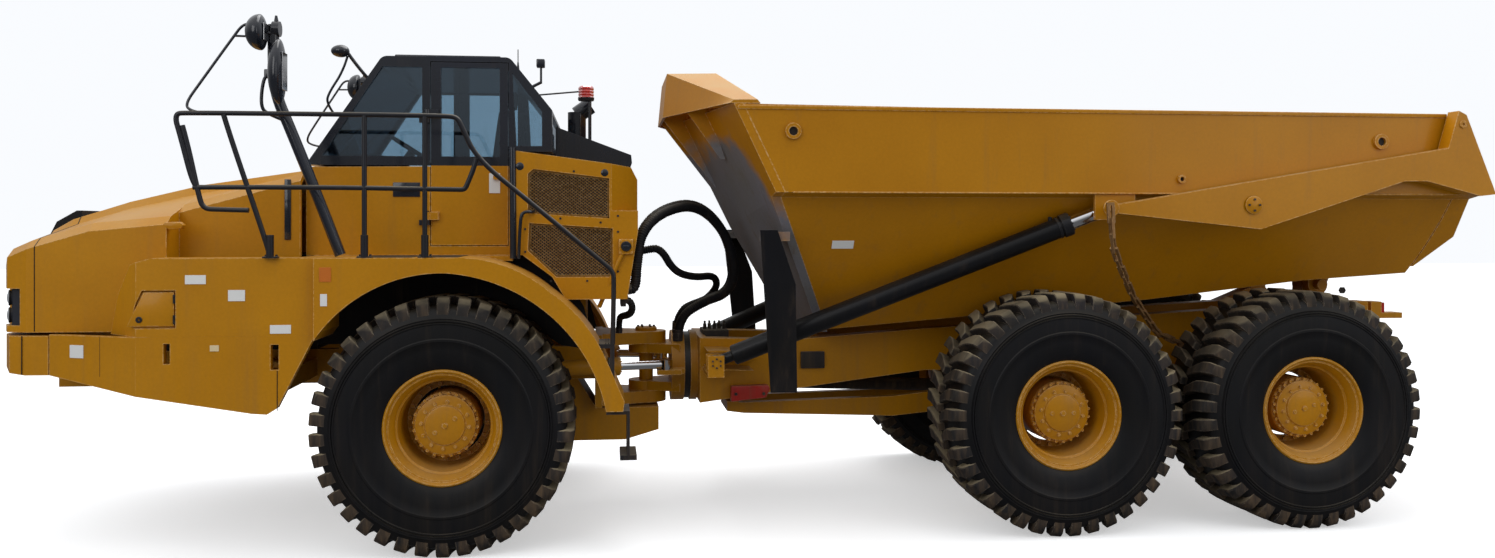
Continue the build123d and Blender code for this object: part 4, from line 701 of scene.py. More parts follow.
def tyre_mesh():
    """Carcass and lugs round the Z axis."""
    shape = bmesh.new()
    outer = sidewall_profile()
    closed = outer + [(radius, -height) for radius, height in reversed(outer[:-1])]
    add_turned(shape, closed, Matrix.Identity(4), steps=96, material=0)
    lugs = bmesh.new()
    for side, offset in ((1, 0.0), (-1, 0.5)):
        for i in range(LUGS):
            add_lug(lugs, tau * (i + offset) / LUGS, side, 1)
    outward(lugs)
    outward(shape)
    pour(lugs, shape)
    return shape


# %% Rims
HUB_RADIUS = 0.235
HUB_FACE = 0.215             # height of the hub's face over the tyre's middle plane


def add_bolts(shape, count, radius, height, size, length, material=0, turn=0.0, sides=6):
    """A circle of bolt heads that stand on a plane across the Z axis."""
    for i in range(count):
        angle = turn + tau * i / count
        foot = Vector((radius * cos(angle), radius * sin(angle), height))
        add_rod(shape, foot, foot + Vector((0, 0, length)), size, sides, material)


def rim_mesh():
    """Flange, lock ring, barrel, disc and planetary hub round the Z axis."""
    shape = bmesh.new()
    edge = RIM_HIGH.y - (RIM_LOW.y + RIM_HIGH.y) / 2
    half = 0.33
    well = RIM_RADIUS - 0.042
    profile = [(well, -0.26), (RIM_RADIUS, -0.30), (RIM_RADIUS + 0.012, -0.32),
               (RIM_RADIUS + 0.01, -0.333), (RIM_RADIUS - 0.01, -half), (well - 0.02, -half),
               (well - 0.02, -0.10), (HUB_RADIUS + 0.02, -0.085), (HUB_RADIUS + 0.02, -0.043),
               (0.30, -0.043), (0.315, 0.0), (0.318, 0.20), (0.326, 0.235), (0.338, 0.245),
               (0.345, 0.275), (0.362, 0.30), (0.372, 0.318), (0.384, 0.318), (0.388, 0.332),
               (0.396, 0.340), (RIM_RADIUS - 0.004, 0.342), (RIM_RADIUS + 0.006, 0.336),
               (RIM_RADIUS + 0.012, 0.325), (RIM_RADIUS + 0.006, 0.31), (well, 0.26)]
    add_turned(shape, profile, Matrix.Identity(4), steps=96)
    hub = [(0.0, -edge * 0.5), (HUB_RADIUS, -edge * 0.5), (HUB_RADIUS, HUB_FACE - 0.075),
           (HUB_RADIUS - 0.006, HUB_FACE - 0.066), (HUB_RADIUS - 0.018, HUB_FACE - 0.062),
           (HUB_RADIUS - 0.022, HUB_FACE - 0.03), (0.198, HUB_FACE - 0.022),
           (0.145, HUB_FACE - 0.018), (0.138, HUB_FACE - 0.004), (0.13, HUB_FACE),
           (0.03, HUB_FACE + 0.002), (0.0, HUB_FACE + 0.002)]
    add_turned(shape, hub, Matrix.Identity(4), steps=72)
    add_bolts(shape, 24, HUB_RADIUS - 0.012, HUB_FACE - 0.064, 0.0125, 0.022)
    add_bolts(shape, 12, 0.168, HUB_FACE - 0.022, 0.011, 0.018)
    add_bolts(shape, 1, 0.0, HUB_FACE, 0.02, 0.014)
    add_bolts(shape, 2, 0.085, HUB_FACE, 0.014, 0.01, turn=0.7)
    add_bolts(shape, 20, 0.277, -0.043, 0.016, 0.03)
    return shape


# %% Fit tyres and rims to every hub
def dress_wheels():
    tyre, rim = tyre_mesh(), rim_mesh()
    outward(rim)
    for axle in ("front", "mid", "rear"):
        for side in ("left", "right"):
            matrix = wheel_matrix(axle, side) @ Matrix.Rotation(
                radians(WHEEL_TURNS[axle]), 4, "Z")
            body = nodes[f"tyre_{axle}_{side}"]["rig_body"]
            for source, name, materials in ((tyre, "tyre", (sidewall, tread_rubber)),
                                            (rim, "rim", (yellow_paint,))):
                copy = source.copy()
                bmesh.ops.transform(copy, matrix=matrix, verts=copy.verts)
                piece = place(copy, f"{name}_{axle}_{side}_detail", body, *materials, smooth=32)
                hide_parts(f"{name}_{axle}_{side}")
    tyre.free()
    rim.free()


dress_wheels()
print("wheels ready")

# %% [markdown]
# ## The cab's outside
# The safety frame and the door are solids already. What is missing is what a hand or an eye
# finds: the door's handle, the roof's raised panel, the antenna, a small lamp on a stalk, the
# wipers, the black seals between hood and cab, the beacon, and the mirrors on their poles.

# %% Cab fittings
CAB_SIDE_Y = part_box("cab_base")[0].y
ROOF_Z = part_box("cab_frame")[1].z


def cab_fittings():
    shape = bmesh.new()
    add_plate(shape, at(-0.365, CAB_SIDE_Y - 0.003, 2.62), (0, -1, 0), (1, 0, 0),
              0.2, 0.11, 0.008, 0.003)
    add_rod(shape, at(-0.44, CAB_SIDE_Y - 0.03, 2.62), at(-0.30, CAB_SIDE_Y - 0.03, 2.62), 0.009)
    for u in (-0.43, -0.31):
        add_rod(shape, at(u, CAB_SIDE_Y, 2.62), at(u, CAB_SIDE_Y - 0.034, 2.62), 0.008)
    add_box(shape, at(-0.47, -0.86, ROOF_Z - 0.004), at(0.33, 0.86, ROOF_Z + 0.022), 0.01)
    add_rod(shape, at(0.428, -0.4, 3.58), at(0.428, -0.4, 3.68), 0.016, radius_end=0.006)
    for start, end, radius, sides in (((0.428, -0.4, 3.68), (0.428, -0.4, 3.785), 0.004, 8),
                                      ((0.56, -0.8, 3.43), (0.635, -0.8, 3.47), 0.012, 16),
                                      ((0.635, -0.8, 3.46), (0.635, -0.8, 3.60), 0.009, 16),
                                      ((0.58, -0.44, 3.41), (0.985, -0.44, 3.45), 0.007, 10)):
        add_rod(shape, at(*start), at(*end), radius, sides)
    add_box(shape, at(0.60, -0.835, 3.585), at(0.665, -0.765, 3.65), 0.008)
    for y in (-0.35, 0.35):
        add_rod(shape, at(-1.02, y, 2.86), at(-0.79, y + 0.16, 3.235), 0.006, 8)
        add_rod(shape, at(-0.925, y - 0.1, 3.01), at(-0.72, y + 0.3, 3.33), 0.008, 8)
    for y in (-1.072, 1.05):
        add_box(shape, at(-1.226, y, 2.24), at(-1.18, y + 0.022, 2.69), 0.004)
    return place(shape, "cab_fittings", "tractor", black_gloss, smooth=40)


def add_dome(shape, middle, radii, back=1.0):
    """A rounded shell; back flattens the half that looks to the rear."""
    made = bmesh.ops.create_uvsphere(shape, u_segments=28, v_segments=18, radius=1)
    for vert in made["verts"]:
        x, y, z = vert.co
        vert.co = middle + Vector((x * radii[0] * (back if x > 0 else 1), y * radii[1],
                                   z * radii[2]))


def mirror_sets():
    """Each side's leaning pole with its loop, round lamp-like head and long mirror."""
    black, glass = bmesh.new(), bmesh.new()
    for side in (-1, 1):
        def spot(u, y, z):
            return at(u, side * y, z)

        for name, points, radius in (
                ("pole", [(-0.73, 1.5, 2.135), (-0.80, 1.5, 2.33), (-1.08, 1.5, 3.05),
                          (-1.165, 1.5, 3.25), (-1.19, 1.5, 3.45), (-1.185, 1.5, 3.76)], 0.039),
                ("loop", [(-1.60, 1.665, 3.118), (-1.69, 1.64, 3.13), (-1.74, 1.62, 3.18),
                          (-1.64, 1.60, 3.34), (-1.43, 1.58, 3.66), (-1.37, 1.57, 3.75),
                          (-1.30, 1.57, 3.75), (-1.18, 1.52, 3.745)], 0.0095),
                ("clamp", [(-1.19, 1.54, 3.41), (-1.225, 1.56, 3.40), (-1.245, 1.57, 3.30),
                           (-1.25, 1.57, 3.18), (-1.22, 1.56, 3.13), (-1.12, 1.51, 3.09)], 0.012)):
            add_tube(black, smooth_line([spot(*point) for point in points], name), radius)
        add_rod(black, spot(-1.42, 1.578, 3.665), spot(-1.25, 1.56, 3.665), 0.008, 10)
        add_rod(black, spot(-1.166, 1.5, 3.755), spot(-1.168, 1.5, 3.825), 0.022, 12,
                radius_end=0.008)
        add_rod(black, spot(-1.19, 1.5, 3.73), spot(-1.14, 1.5, 3.73), 0.055, 16)
        add_box(black, at(-1.235, side * 1.53 - 0.03, 3.38), at(-1.165, side * 1.53 + 0.03, 3.44),
                0.006)
        add_rod(black, spot(-1.18, 1.5, 3.41), spot(-1.12, 1.64, 3.41), 0.015, 12)
        add_rod(black, spot(-1.17, 1.5, 3.70), spot(-1.24, 1.58, 3.69), 0.014, 12)
        add_dome(black, spot(-1.245, 1.60, 3.69), (0.10, 0.125, 0.125), 0.35)
        add_dome(black, spot(-1.09, 1.70, 3.405), (0.075, 0.125, 0.225), 0.45)
        add_plate(glass, spot(-1.2075, 1.60, 3.69), (1, 0, 0), (0, 1, 0), 0.12, 0.12, 0.006, 0.002)
        add_plate(glass, spot(-1.0575, 1.70, 3.405), (1, 0, 0), (0, 1, 0), 0.12, 0.26, 0.006, 0.002)
    add_dome(black, at(-0.845, -0.95, 3.665), (0.075, 0.06, 0.047), 0.8)
    for points, radius in (([(-0.80, -0.945, 3.63), (-0.83, -0.94, 3.52), (-0.95, -0.92, 3.34),
                             (-0.958, -0.91, 3.27), (-0.925, -0.865, 3.21)], 0.009),
                           ([(-0.80, -0.94, 3.655), (-0.74, -0.90, 3.56), (-0.665, -0.855, 3.47)],
                            0.013)):
        add_tube(black, smooth_line([at(*point) for point in points], "arm"), radius)
    piece = place(black, "mirror_sets", "tractor", black_gloss, smooth=50)
    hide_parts("mirrors")
    return place(glass, "mirror_glass", "tractor", chrome)


def beacon_lamp():
    """The red lamp: a ribbed lens on a black base, over its post."""
    low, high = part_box("beacon")
    foot = Vector(((low.x + high.x) / 2 - 0.03, (low.y + high.y) / 2, low.z))
    lens, base = bmesh.new(), bmesh.new()
    profile = [(0.0, 0.014)] + [(0.064 - 0.004 * (i % 2), 0.014 + 0.012 * i) for i in range(8)] \
        + [(0.05, 0.108), (0.0, 0.112)]
    add_turned(lens, profile, Matrix.Translation(foot), 32)
    add_turned(base, [(0.0, -0.012), (0.062, -0.012), (0.066, 0.0), (0.066, 0.014), (0.0, 0.014)],
               Matrix.Translation(foot), 32)
    place(base, "beacon_base", "tractor", black_paint, smooth=40)
    piece = place(lens, "beacon_lens", "tractor", red_lens)
    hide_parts("beacon")


cab_fittings()
beacon_lamp()
mirror_sets()

# %% [markdown]
# ## The seat
# A driver's seat is foam under cloth: each pad swells in the middle, its sides pull in between
# the corners, and a sewn channel runs round the edge. A grid of points on a box, pushed out by a
# smooth dome and held at the edge, gives that shape without a simulation.

# %% Seat pads


def pad_mesh(low, high, swell, lean=0.0, rows=14):
    """A crowned pad in a box; lean tips it back about its lower front edge."""
    shape = bmesh.new()
    size = Vector(high) - Vector(low)
    middle = (Vector(high) + Vector(low)) / 2
    bmesh.ops.create_cube(shape, size=1)
    bmesh.ops.subdivide_edges(shape, edges=shape.edges[:], cuts=rows, use_grid_fill=True)
    for vert in shape.verts:
        x, y, z = (2 * value for value in vert.co)
        ball = Vector((x * sqrt(max(0, 1 - y * y / 2 - z * z / 2 + y * y * z * z / 3)),
                       y * sqrt(max(0, 1 - x * x / 2 - z * z / 2 + x * x * z * z / 3)),
                       z * sqrt(max(0, 1 - x * x / 2 - y * y / 2 + x * x * y * y / 3))))
        soft = Vector((x, y, z)).lerp(ball, 0.28)
        crown = 1 + swell * (1 - x * x) * (1 - y * y) * (1 - z * z * 0.5)
        channel = 0.05 * groove(abs(abs(y) - 0.62), 0.05) * (abs(x) < 0.999 or abs(z) < 0.999)
        soft = soft * (crown - channel)
        vert.co = Vector((soft.x * size.x, soft.y * size.y, soft.z * size.z)) / 2
        vert.co.x += lean * (vert.co.z + size.z / 2)
        vert.co += middle
    return outward(shape)


def groove(distance, width):
    """A smooth groove: 1 in its middle and 0 from width on."""
    share = min(1.0, distance / width)
    return (1 - share * share) ** 2


def seat():
    low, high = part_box("seat_cushions")
    cushion = (at(-0.225, low.y + 0.005, 2.562), at(0.245, high.y - 0.005, 2.675))
    back = (at(0.175, low.y + 0.006, 2.69), at(0.27, high.y - 0.006, 3.325))
    rest = (at(0.312, -0.135, 3.335), at(0.385, 0.135, 3.475))
    pieces = []
    for name, (corner_a, corner_b), swell, lean in (("seat_pad", cushion, 0.05, 0.0),
                                                    ("seat_back", back, 0.05, 0.13),
                                                    ("head_rest", rest, 0.04, 0.1)):
        piece = place(pad_mesh(corner_a, corner_b, swell, lean), name, "tractor", seat_cloth,
                      smooth=60)
        pieces.append(piece)
    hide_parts("seat_cushions")
    return pieces


seat()
print("cab dressed")

# %% [markdown]
# ## Rails and steps
# The left rails are made again here, with the one along the steps that their solid lacks.
# Every upright stands on a small welded foot. The steps have raised grip bars, and the deck has
# dark non-slip strips where a boot lands.

# %% Feet, grips and treads
RAIL_Y = (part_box("left_rails")[0].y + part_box("left_rails")[1].y) / 2
DECK_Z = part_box("fenders")[1].z


def walkways():
    feet, grip = bmesh.new(), bmesh.new()
    rails = bmesh.new()
    for points in ([(-1.63, 2.605), (-1.66, 2.605), (-1.745, 2.95), (-1.79, 3.11), (-1.70, 3.116),
                    (-0.9, 3.118), (0.02, 3.116), (0.10, 3.105), (0.13, 3.05), (0.235, 2.815),
                    (0.62, 2.50), (1.12, 2.08), (1.19, 2.02), (1.197, 1.94), (1.187, 1.50)],
                   [(0.232, 2.82), (0.225, 2.77), (0.165, 2.62), (0.15, 2.598), (0.10, 2.598),
                    (-0.9, 2.612), (-1.665, 2.607)],
                   [(-1.465, 3.105), (-1.42, 2.95), (-1.24, 2.40), (-1.165, 2.16), (-1.16, 2.128)],
                   [(-1.735, 3.03), (-1.70, 2.90), (-1.63, 2.56), (-1.60, 2.46), (-1.50, 2.455),
                    (-1.30, 2.45)],
                   [(-0.53, 3.11), (-0.53, 2.128)], [(-0.12, 3.11), (-0.12, 2.128)]):
        line = [at(u, RAIL_Y, z) for u, z in points]
        add_tube(rails, smooth_line(line, "rail") if len(line) > 2 else line, 0.0175)
    piece = place(rails, "guard_rails", "tractor", black_paint, smooth=50)
    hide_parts("left_rails")
    for u in (-1.16, -0.53, -0.12):
        add_box(feet, at(u - 0.05, RAIL_Y - 0.012, DECK_Z), at(u + 0.05, RAIL_Y + 0.05,
                                                               DECK_Z + 0.012), 0.003)
        add_rod(feet, at(u, RAIL_Y, DECK_Z), at(u, RAIL_Y, DECK_Z + 0.16), 0.026)
        for shift in (-0.035, 0.035):
            add_rod(feet, at(u + shift, RAIL_Y + 0.03, DECK_Z + 0.01),
                    at(u + shift, RAIL_Y + 0.03, DECK_Z + 0.024), 0.009, 6)
    place(feet, "rail_feet", "tractor", black_paint, smooth=40)
    for u_from, u_to, y_from, y_to in ((-0.60, -0.22, -1.62, -1.0), (-0.16, 0.10, -1.62, -1.0),
                                       (-1.0, -0.64, 1.0, 1.62), (-0.58, 0.08, 1.0, 1.62)):
        add_box(grip, at(u_from, y_from, DECK_Z - 0.001), at(u_to, y_to, DECK_Z + 0.003), 0.0015)
    for z in (1.16, 1.36, 1.50):
        for i in range(4):
            u = 1.135 + 0.018 * i
            add_box(grip, at(u, -1.68, z - 0.002), at(u + 0.008, -1.31, z + 0.006), 0.001)
    place(grip, "grip_strips", "tractor", black_rubber)


walkways()
print("walkways ready")

# %% [markdown]
# ## Hood, bumper and side panels
# Pressed panels meet in dark shut lines. The nose has a slatted grille, the headlamps sit back
# in the corners behind clear glass, and the blank rating plates stay blank.

# %% Shut lines and seals
HOOD_SEAM = ((-1.3026, 1.60), (-1.3026, 2.196), (-1.2126, 2.256), (-0.622, 2.357),
             (-0.572, 2.4127), (0.0, 2.4377))


def add_seam(shape, points, radius=0.0035):
    """A dark bead sunk half its width into a panel, along straight runs."""
    for a, b in zip(points, points[1:]):
        add_rod(shape, a, b, radius, 8)


def shut_lines():
    hood, fixed = bmesh.new(), bmesh.new()
    for side in (1, -1):
        add_seam(hood, [at(-2.855, side * y, z) for y, z in HOOD_SEAM])
    for side in (-1, 1):
        add_seam(fixed, [at(-2.924, side * 1.334, 1.30), at(-2.924, side * 1.334, 1.57)])
        add_seam(fixed, [at(-1.12, side * 1.651, 1.06), at(-1.12, side * 1.651, 1.34)], 0.003)
        add_seam(fixed, [at(-2.33, side * 1.522, 1.3), at(-2.33, side * 1.522, 1.575)], 0.003)
    place(hood, "hood_seams", "hood", black_rubber, smooth=40)
    place(fixed, "panel_seams", "tractor", black_rubber, smooth=40)


def hood_lips():
    """The turned lip where the hood's bulge ends, on both sides."""
    shape = bmesh.new()
    outline = [(-2.0, 2.345), (-1.97, 2.37), (-1.87, 2.372), (-1.845, 2.35), (-1.862, 2.322),
               (-1.95, 2.318)]
    add_prism(shape, outline, -1.338, -1.28, 0.008)
    mirrored_side(shape)
    return place(shape, "hood_lips", "hood", yellow_paint, smooth=40)


shut_lines()
hood_lips()

# %% Nose grille and lamps


def nose_grille():
    shape = bmesh.new()
    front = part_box("hood")[0].x - FRONT_AXLE_X
    add_box(shape, at(front - 0.003, -0.72, 1.70), at(front + 0.002, 0.72, 2.03), 0.0015)
    for i in range(11):
        z = 1.715 + 0.03 * i
        add_box(shape, at(front - 0.011, -0.71, z), at(front - 0.001, 0.71, z + 0.01), 0.0015)
    for y in (-0.72, -0.24, 0.24, 0.70):
        add_box(shape, at(front - 0.0115, y, 1.70), at(front, y + 0.02, 2.03), 0.0015)
    return place(shape, "nose_grille", "hood", black_paint)


def headlamp_glass():
    """A bright bowl, a clear lens and a dark ring for each of the four round lamps."""
    bowls, lenses, rings = bmesh.new(), bmesh.new(), bmesh.new()
    facing, corner_u, corner_y = Vector((-0.886, -0.464, 0)), -3.064, -1.170
    for z in (1.708, 1.832):
        front = at(corner_u, corner_y, z) + facing * 0.014
        place_at = frame_at(front, facing)
        add_turned(bowls, [(0.0, -0.002), (0.02, 0.0005), (0.048, 0.002)], place_at, 40)
        add_turned(lenses, [(0.0, 0.018), (0.02, 0.0165), (0.036, 0.012), (0.047, 0.004)],
                   place_at, 40)
        add_ring(rings, front + facing * 0.002, facing, 0.056, 0.046, 0.012, 40)
    for shape, name, material in ((bowls, "lamp_bowls", chrome),
                                  (lenses, "lamp_lenses", clear_lens),
                                  (rings, "lamp_rings", black_rubber)):
        mirrored_side(shape)
        place(shape, name, "hood", material, smooth=50)


nose_grille()
headlamp_glass()

# %% Filler doors and blank plates


def filler_doors():
    shape, locks = bmesh.new(), bmesh.new()
    outline = [(-2.112, 1.652), (-1.802, 1.652), (-1.802, 1.888), (-2.003, 1.888)]
    for side in (-1, 1):
        add_side_prism(shape, outline, side, 1.618, 1.642, 0.006)
        add_ring(locks, at(-2.03, side * 1.645, 1.70), (0, side, 0), 0.022, 0.006, 0.008)
        for z in (1.70, 1.84):
            add_rod(locks, at(-1.80, side * 1.645, z - 0.03), at(-1.80, side * 1.645, z + 0.03),
                    0.009)
    place(shape, "filler_doors", "tractor", yellow_paint, smooth=40)
    place(locks, "filler_locks", "tractor", black_paint, smooth=40)


def blank_plates():
    """Rating plates and warning plates, all left blank."""
    white, cream, orange = bmesh.new(), bmesh.new(), bmesh.new()
    left, along = (0, -1, 0), (1, 0, 0)
    panel_y, flare_y, cab_y = -1.652, -1.702, -0.952
    for u, z, width, height, y in ((-1.659, 1.973, 0.137, 0.062, panel_y),
                                   (-1.389, 1.862, 0.112, 0.077, panel_y),
                                   (-1.098, 1.626, 0.14, 0.06, panel_y),
                                   (-0.799, 1.829, 0.046, 0.084, flare_y),
                                   (0.292, 2.672, 0.083, 0.153, cab_y)):
        add_plate(white, at(u, y, z), left, along, width, height, 0.003, 0.001)
    add_plate(white, at(-2.516, -1.4425, 1.468), (-0.41, -0.912, 0), (0.912, -0.41, 0),
              0.12, 0.09, 0.003, 0.001)
    add_plate(cream, at(-1.535, panel_y, 1.50), left, along, 0.06, 0.042, 0.003, 0.001)
    add_plate(orange, at(-0.789, flare_y, 2.005), left, along, 0.08, 0.10, 0.003, 0.001)
    place(white, "blank_plates_white", "tractor", white_plate)
    place(cream, "blank_plates_cream", "tractor", cream_plate)
    place(orange, "blank_plates_orange", "tractor", orange_lens)
    body = bmesh.new()
    add_plate(body, at(2.95, -1.2485, 2.2), (0, -0.817, -0.577), (1, 0, 0), 0.17, 0.075, 0.003,
              0.001)
    place(body, "blank_plate_body", "dump_body", white_plate)


filler_doors()
blank_plates()
print("front dressed")

# %% [markdown]
# ## Behind the cab
# The cooling pack breathes through meshes in both sides of its housing. Around them sit screws,
# two plugged holes and an isolator switch.

# %% The meshes
MESH_PITCH = 0.018
MESH_SLOPE = radians(38)
UPPER_WINDOW = [(0.560, 2.440), (1.165, 2.402), (1.165, 2.703), (0.600, 2.770), (0.560, 2.735)]
LOWER_WINDOW = [(0.770, 1.960), (1.190, 1.960), (1.190, 2.325), (0.570, 2.365), (0.560, 2.160)]


def clip_line(outline, point, way):
    """The part of an endless line that lies inside a convex outline (anticlockwise)."""
    start, end = -9.0, 9.0
    for (u0, z0), (u1, z1) in zip(outline, outline[1:] + outline[:1]):
        inward = (-(z1 - z0), u1 - u0)
        depth = (point[0] - u0) * inward[0] + (point[1] - z0) * inward[1]
        speed = way[0] * inward[0] + way[1] * inward[1]
        if abs(speed) < 1e-9:
            if depth < 0:
                return None
        elif speed > 0:
            start = max(start, -depth / speed)
        else:
            end = min(end, -depth / speed)
    if end - start < 0.01:
        return None
    return [(point[0] + way[0] * t, point[1] + way[1] * t) for t in (start, end)]


def mesh_panes():
    """Fine crossing wires inside a flat rim, on both sides of the housing."""
    shape = bmesh.new()
    wall_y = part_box("grilles")[0].y + 0.006
    for window in (UPPER_WINDOW, LOWER_WINDOW):
        middle = [sum(values) / len(window) for values in zip(*window)]
        for slope, depth in ((MESH_SLOPE, -0.0015), (-MESH_SLOPE, 0.0015)):
            way = (cos(slope), sin(slope))
            for i in range(-24, 25):
                point = (middle[0] - way[1] * i * MESH_PITCH, middle[1] + way[0] * i * MESH_PITCH)
                wire = clip_line(window, point, way)
                if wire:
                    (u0, z0), (u1, z1) = wire
                    a, b = at(u0, wall_y + depth, z0), at(u1, wall_y + depth, z1)
                    add_plate(shape, (a + b) / 2, (0, -1, 0), b - a, (b - a).length, 0.0045, 0.003)
        for (u0, z0), (u1, z1) in zip(window, window[1:] + window[:1]):
            a, b = at(u0, wall_y, z0), at(u1, wall_y, z1)
            add_plate(shape, (a + b) / 2, (0, -1, 0), b - a, (b - a).length, 0.03, 0.011, 0.002)
    mirrored_side(shape)
    piece = place(shape, "mesh_panes", "tractor", mesh_paint)
    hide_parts("grilles")
    # Painted shade: a flat dark sheet behind each mesh stands for the dark inside of the housing.
    back_shade = bmesh.new()
    for window in (UPPER_WINDOW, LOWER_WINDOW):
        add_prism(back_shade, window, wall_y + 0.045, wall_y + 0.05)
    mirrored_side(back_shade)
    return place(back_shade, "mesh_back_shade", "tractor", dark_plastic)


mesh_panes()

# %% Cooling pack fittings


def cooling_fittings():
    shape, yellow = bmesh.new(), bmesh.new()
    side_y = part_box("radiator_housing")[0].y
    for side in (-1, 1):
        y = -side * side_y
        for u, z, radius in ((0.50, 2.79, 0.03), (1.13, 2.745, 0.028)):
            add_turned(shape, [(0.0, 0.003), (radius - 0.004, 0.003), (radius, 0.0),
                               (radius, -0.004)], frame_at(at(u, y, z), (0, side, 0)), 28)
    add_turned(shape, [(0.0, 0.022), (0.034, 0.022), (0.04, 0.014), (0.04, 0.0)],
               frame_at(at(1.29, side_y - 0.032, 2.19), (0, -1, 0)), 32)
    add_box(shape, at(1.27, side_y - 0.064, 2.182), at(1.31, side_y - 0.05, 2.198), 0.003)
    add_box(yellow, at(1.235, side_y - 0.034, 2.13), at(1.345, side_y, 2.245), 0.008)
    for u, z in ((1.247, 2.142), (1.333, 2.142), (1.247, 2.233), (1.333, 2.233)):
        add_rod(yellow, at(u, side_y - 0.04, z), at(u, side_y - 0.03, z), 0.007, 6)
    place(shape, "cooling_fittings", "tractor", black_gloss, smooth=40)
    place(yellow, "isolator_bracket", "tractor", yellow_paint, smooth=40)


def housing_bolts():
    """Screws round the frames of the mesh panes."""
    shape = bmesh.new()
    side_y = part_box("radiator_housing")[0].y
    for u, z in ((0.52, 2.42), (0.80, 2.40), (1.10, 2.37), (1.23, 2.42), (1.23, 2.0),
                 (1.23, 2.30), (0.73, 1.93), (1.0, 1.93), (0.54, 2.15), (0.54, 2.32), (0.9, 2.755)):
        for side in (-1, 1):
            y = side * abs(side_y)
            add_rod(shape, at(u, y - side * 0.002, z), at(u, y + side * 0.006, z), 0.009, 6)
    return place(shape, "housing_bolts", "tractor", black_paint)


cooling_fittings()
housing_bolts()
print("cooling pack dressed")

# %% [markdown]
# ## Behind the wheel arch
# A black sheet inside the tyre closes the arch as painted shade under the deck, a black duct and a
# grab handle stand at the housing's front corner, and a tubular strut stays its rear one.

# %% Arch shade sheet, duct, handle and strut


def arch_fittings():
    under_deck_shade, black, yellow = bmesh.new(), bmesh.new(), bmesh.new()
    # Painted shade: a flat black sheet inboard of the tyre darkens the arch under the deck.
    inner_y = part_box("tyre_front_left")[1].y + 0.03
    add_prism(under_deck_shade, [(-1.02, 1.45), (-0.8, 1.45), (-0.5, 1.62), (0.5, 1.62), (0.8, 1.42),
                      (1.06, 1.38), (0.97, 1.72), (0.84, 1.93), (0.55, 2.10), (-0.75, 2.10),
                      (-0.95, 1.93)], inner_y, inner_y + 0.008)
    mirrored_side(under_deck_shade)
    wall_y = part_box("grilles")[0].y
    add_rod(black, at(0.452, wall_y - 0.012, 2.10), at(0.446, wall_y - 0.012, 2.93), 0.026)
    line = smooth_line([at(0.60, wall_y, 2.448), at(0.60, wall_y - 0.06, 2.448),
                        at(0.53, wall_y - 0.065, 2.45), at(0.505, wall_y - 0.065, 2.40),
                        at(0.494, wall_y - 0.05, 2.10)], "handle")
    add_tube(black, line, 0.013)
    line = smooth_line([at(1.28, wall_y + 0.01, 2.19), at(1.275, wall_y - 0.03, 2.17),
                        at(1.21, wall_y - 0.03, 2.02), at(1.12, wall_y + 0.02, 1.80),
                        at(1.09, wall_y + 0.06, 1.73)], "strut")
    add_tube(yellow, line, 0.017)
    place(under_deck_shade, "arch_under_deck_shades", "tractor", black_rubber)
    place(black, "duct_and_handle", "tractor", black_gloss, smooth=40)
    return place(yellow, "housing_strut", "tractor", yellow_paint, smooth=40)


arch_fittings()

# %% [markdown]
# ## Hoses over the hitch
# Oil crosses from the tractor to the rear frame in stiff rubber hoses. They rise in an arch, so
# that the truck can steer forty-five degrees either way without pulling them. Each hose is one
# NURBS line; those that run to the hitch, whose far end turns with the hitch, are left on no body.

# %% Hoses
RIB_PITCH = 0.018            # from one wire of the spiral guard to the next
SLEEVE = 0.040               # two sleeves hold the pressure hoses together
WALL_U = 1.345               # the housing's rear wall at the height of the hoses


def add_ribbed_tube(shape, line, radius, sides=16):
    """A round tube whose wall swells over every wire of its guard."""
    made = bmesh.new()
    add_tube(made, line, 1.0, sides)
    made.verts.ensure_lookup_table()
    walked = 0.0
    for i, point in enumerate(line):
        walked += (point - line[max(i - 1, 0)]).length
        swell = radius - 0.0035 * (walked % RIB_PITCH < RIB_PITCH / 2)
        for vert in made.verts[i * sides:(i + 1) * sides]:
            vert.co = point + (vert.co - point) * swell
    pour(made, shape)


def add_hose(name, route, radius, body="tractor", bends_to=None):
    """A ribbed hose along a route's NURBS line; its measured length is printed."""
    line = smooth_line(route, name + "_route", resolution=36)
    shape = bmesh.new()
    add_ribbed_tube(shape, line, radius)
    piece = place(shape, name, None if bends_to else body, black_rubber, smooth=60)
    if bends_to:
        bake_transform(piece)
    print(name, "length", round(line_length(line), 3))
    return piece


YOKE_Z, YOKE_RADIUS, YOKE_U = 1.15, 0.30, 1.745      # the hitch's round wall


def yoke_top(y):
    """A point on top of the hitch's round wall."""
    return at(YOKE_U, y, YOKE_Z + sqrt(YOKE_RADIUS ** 2 - y ** 2))


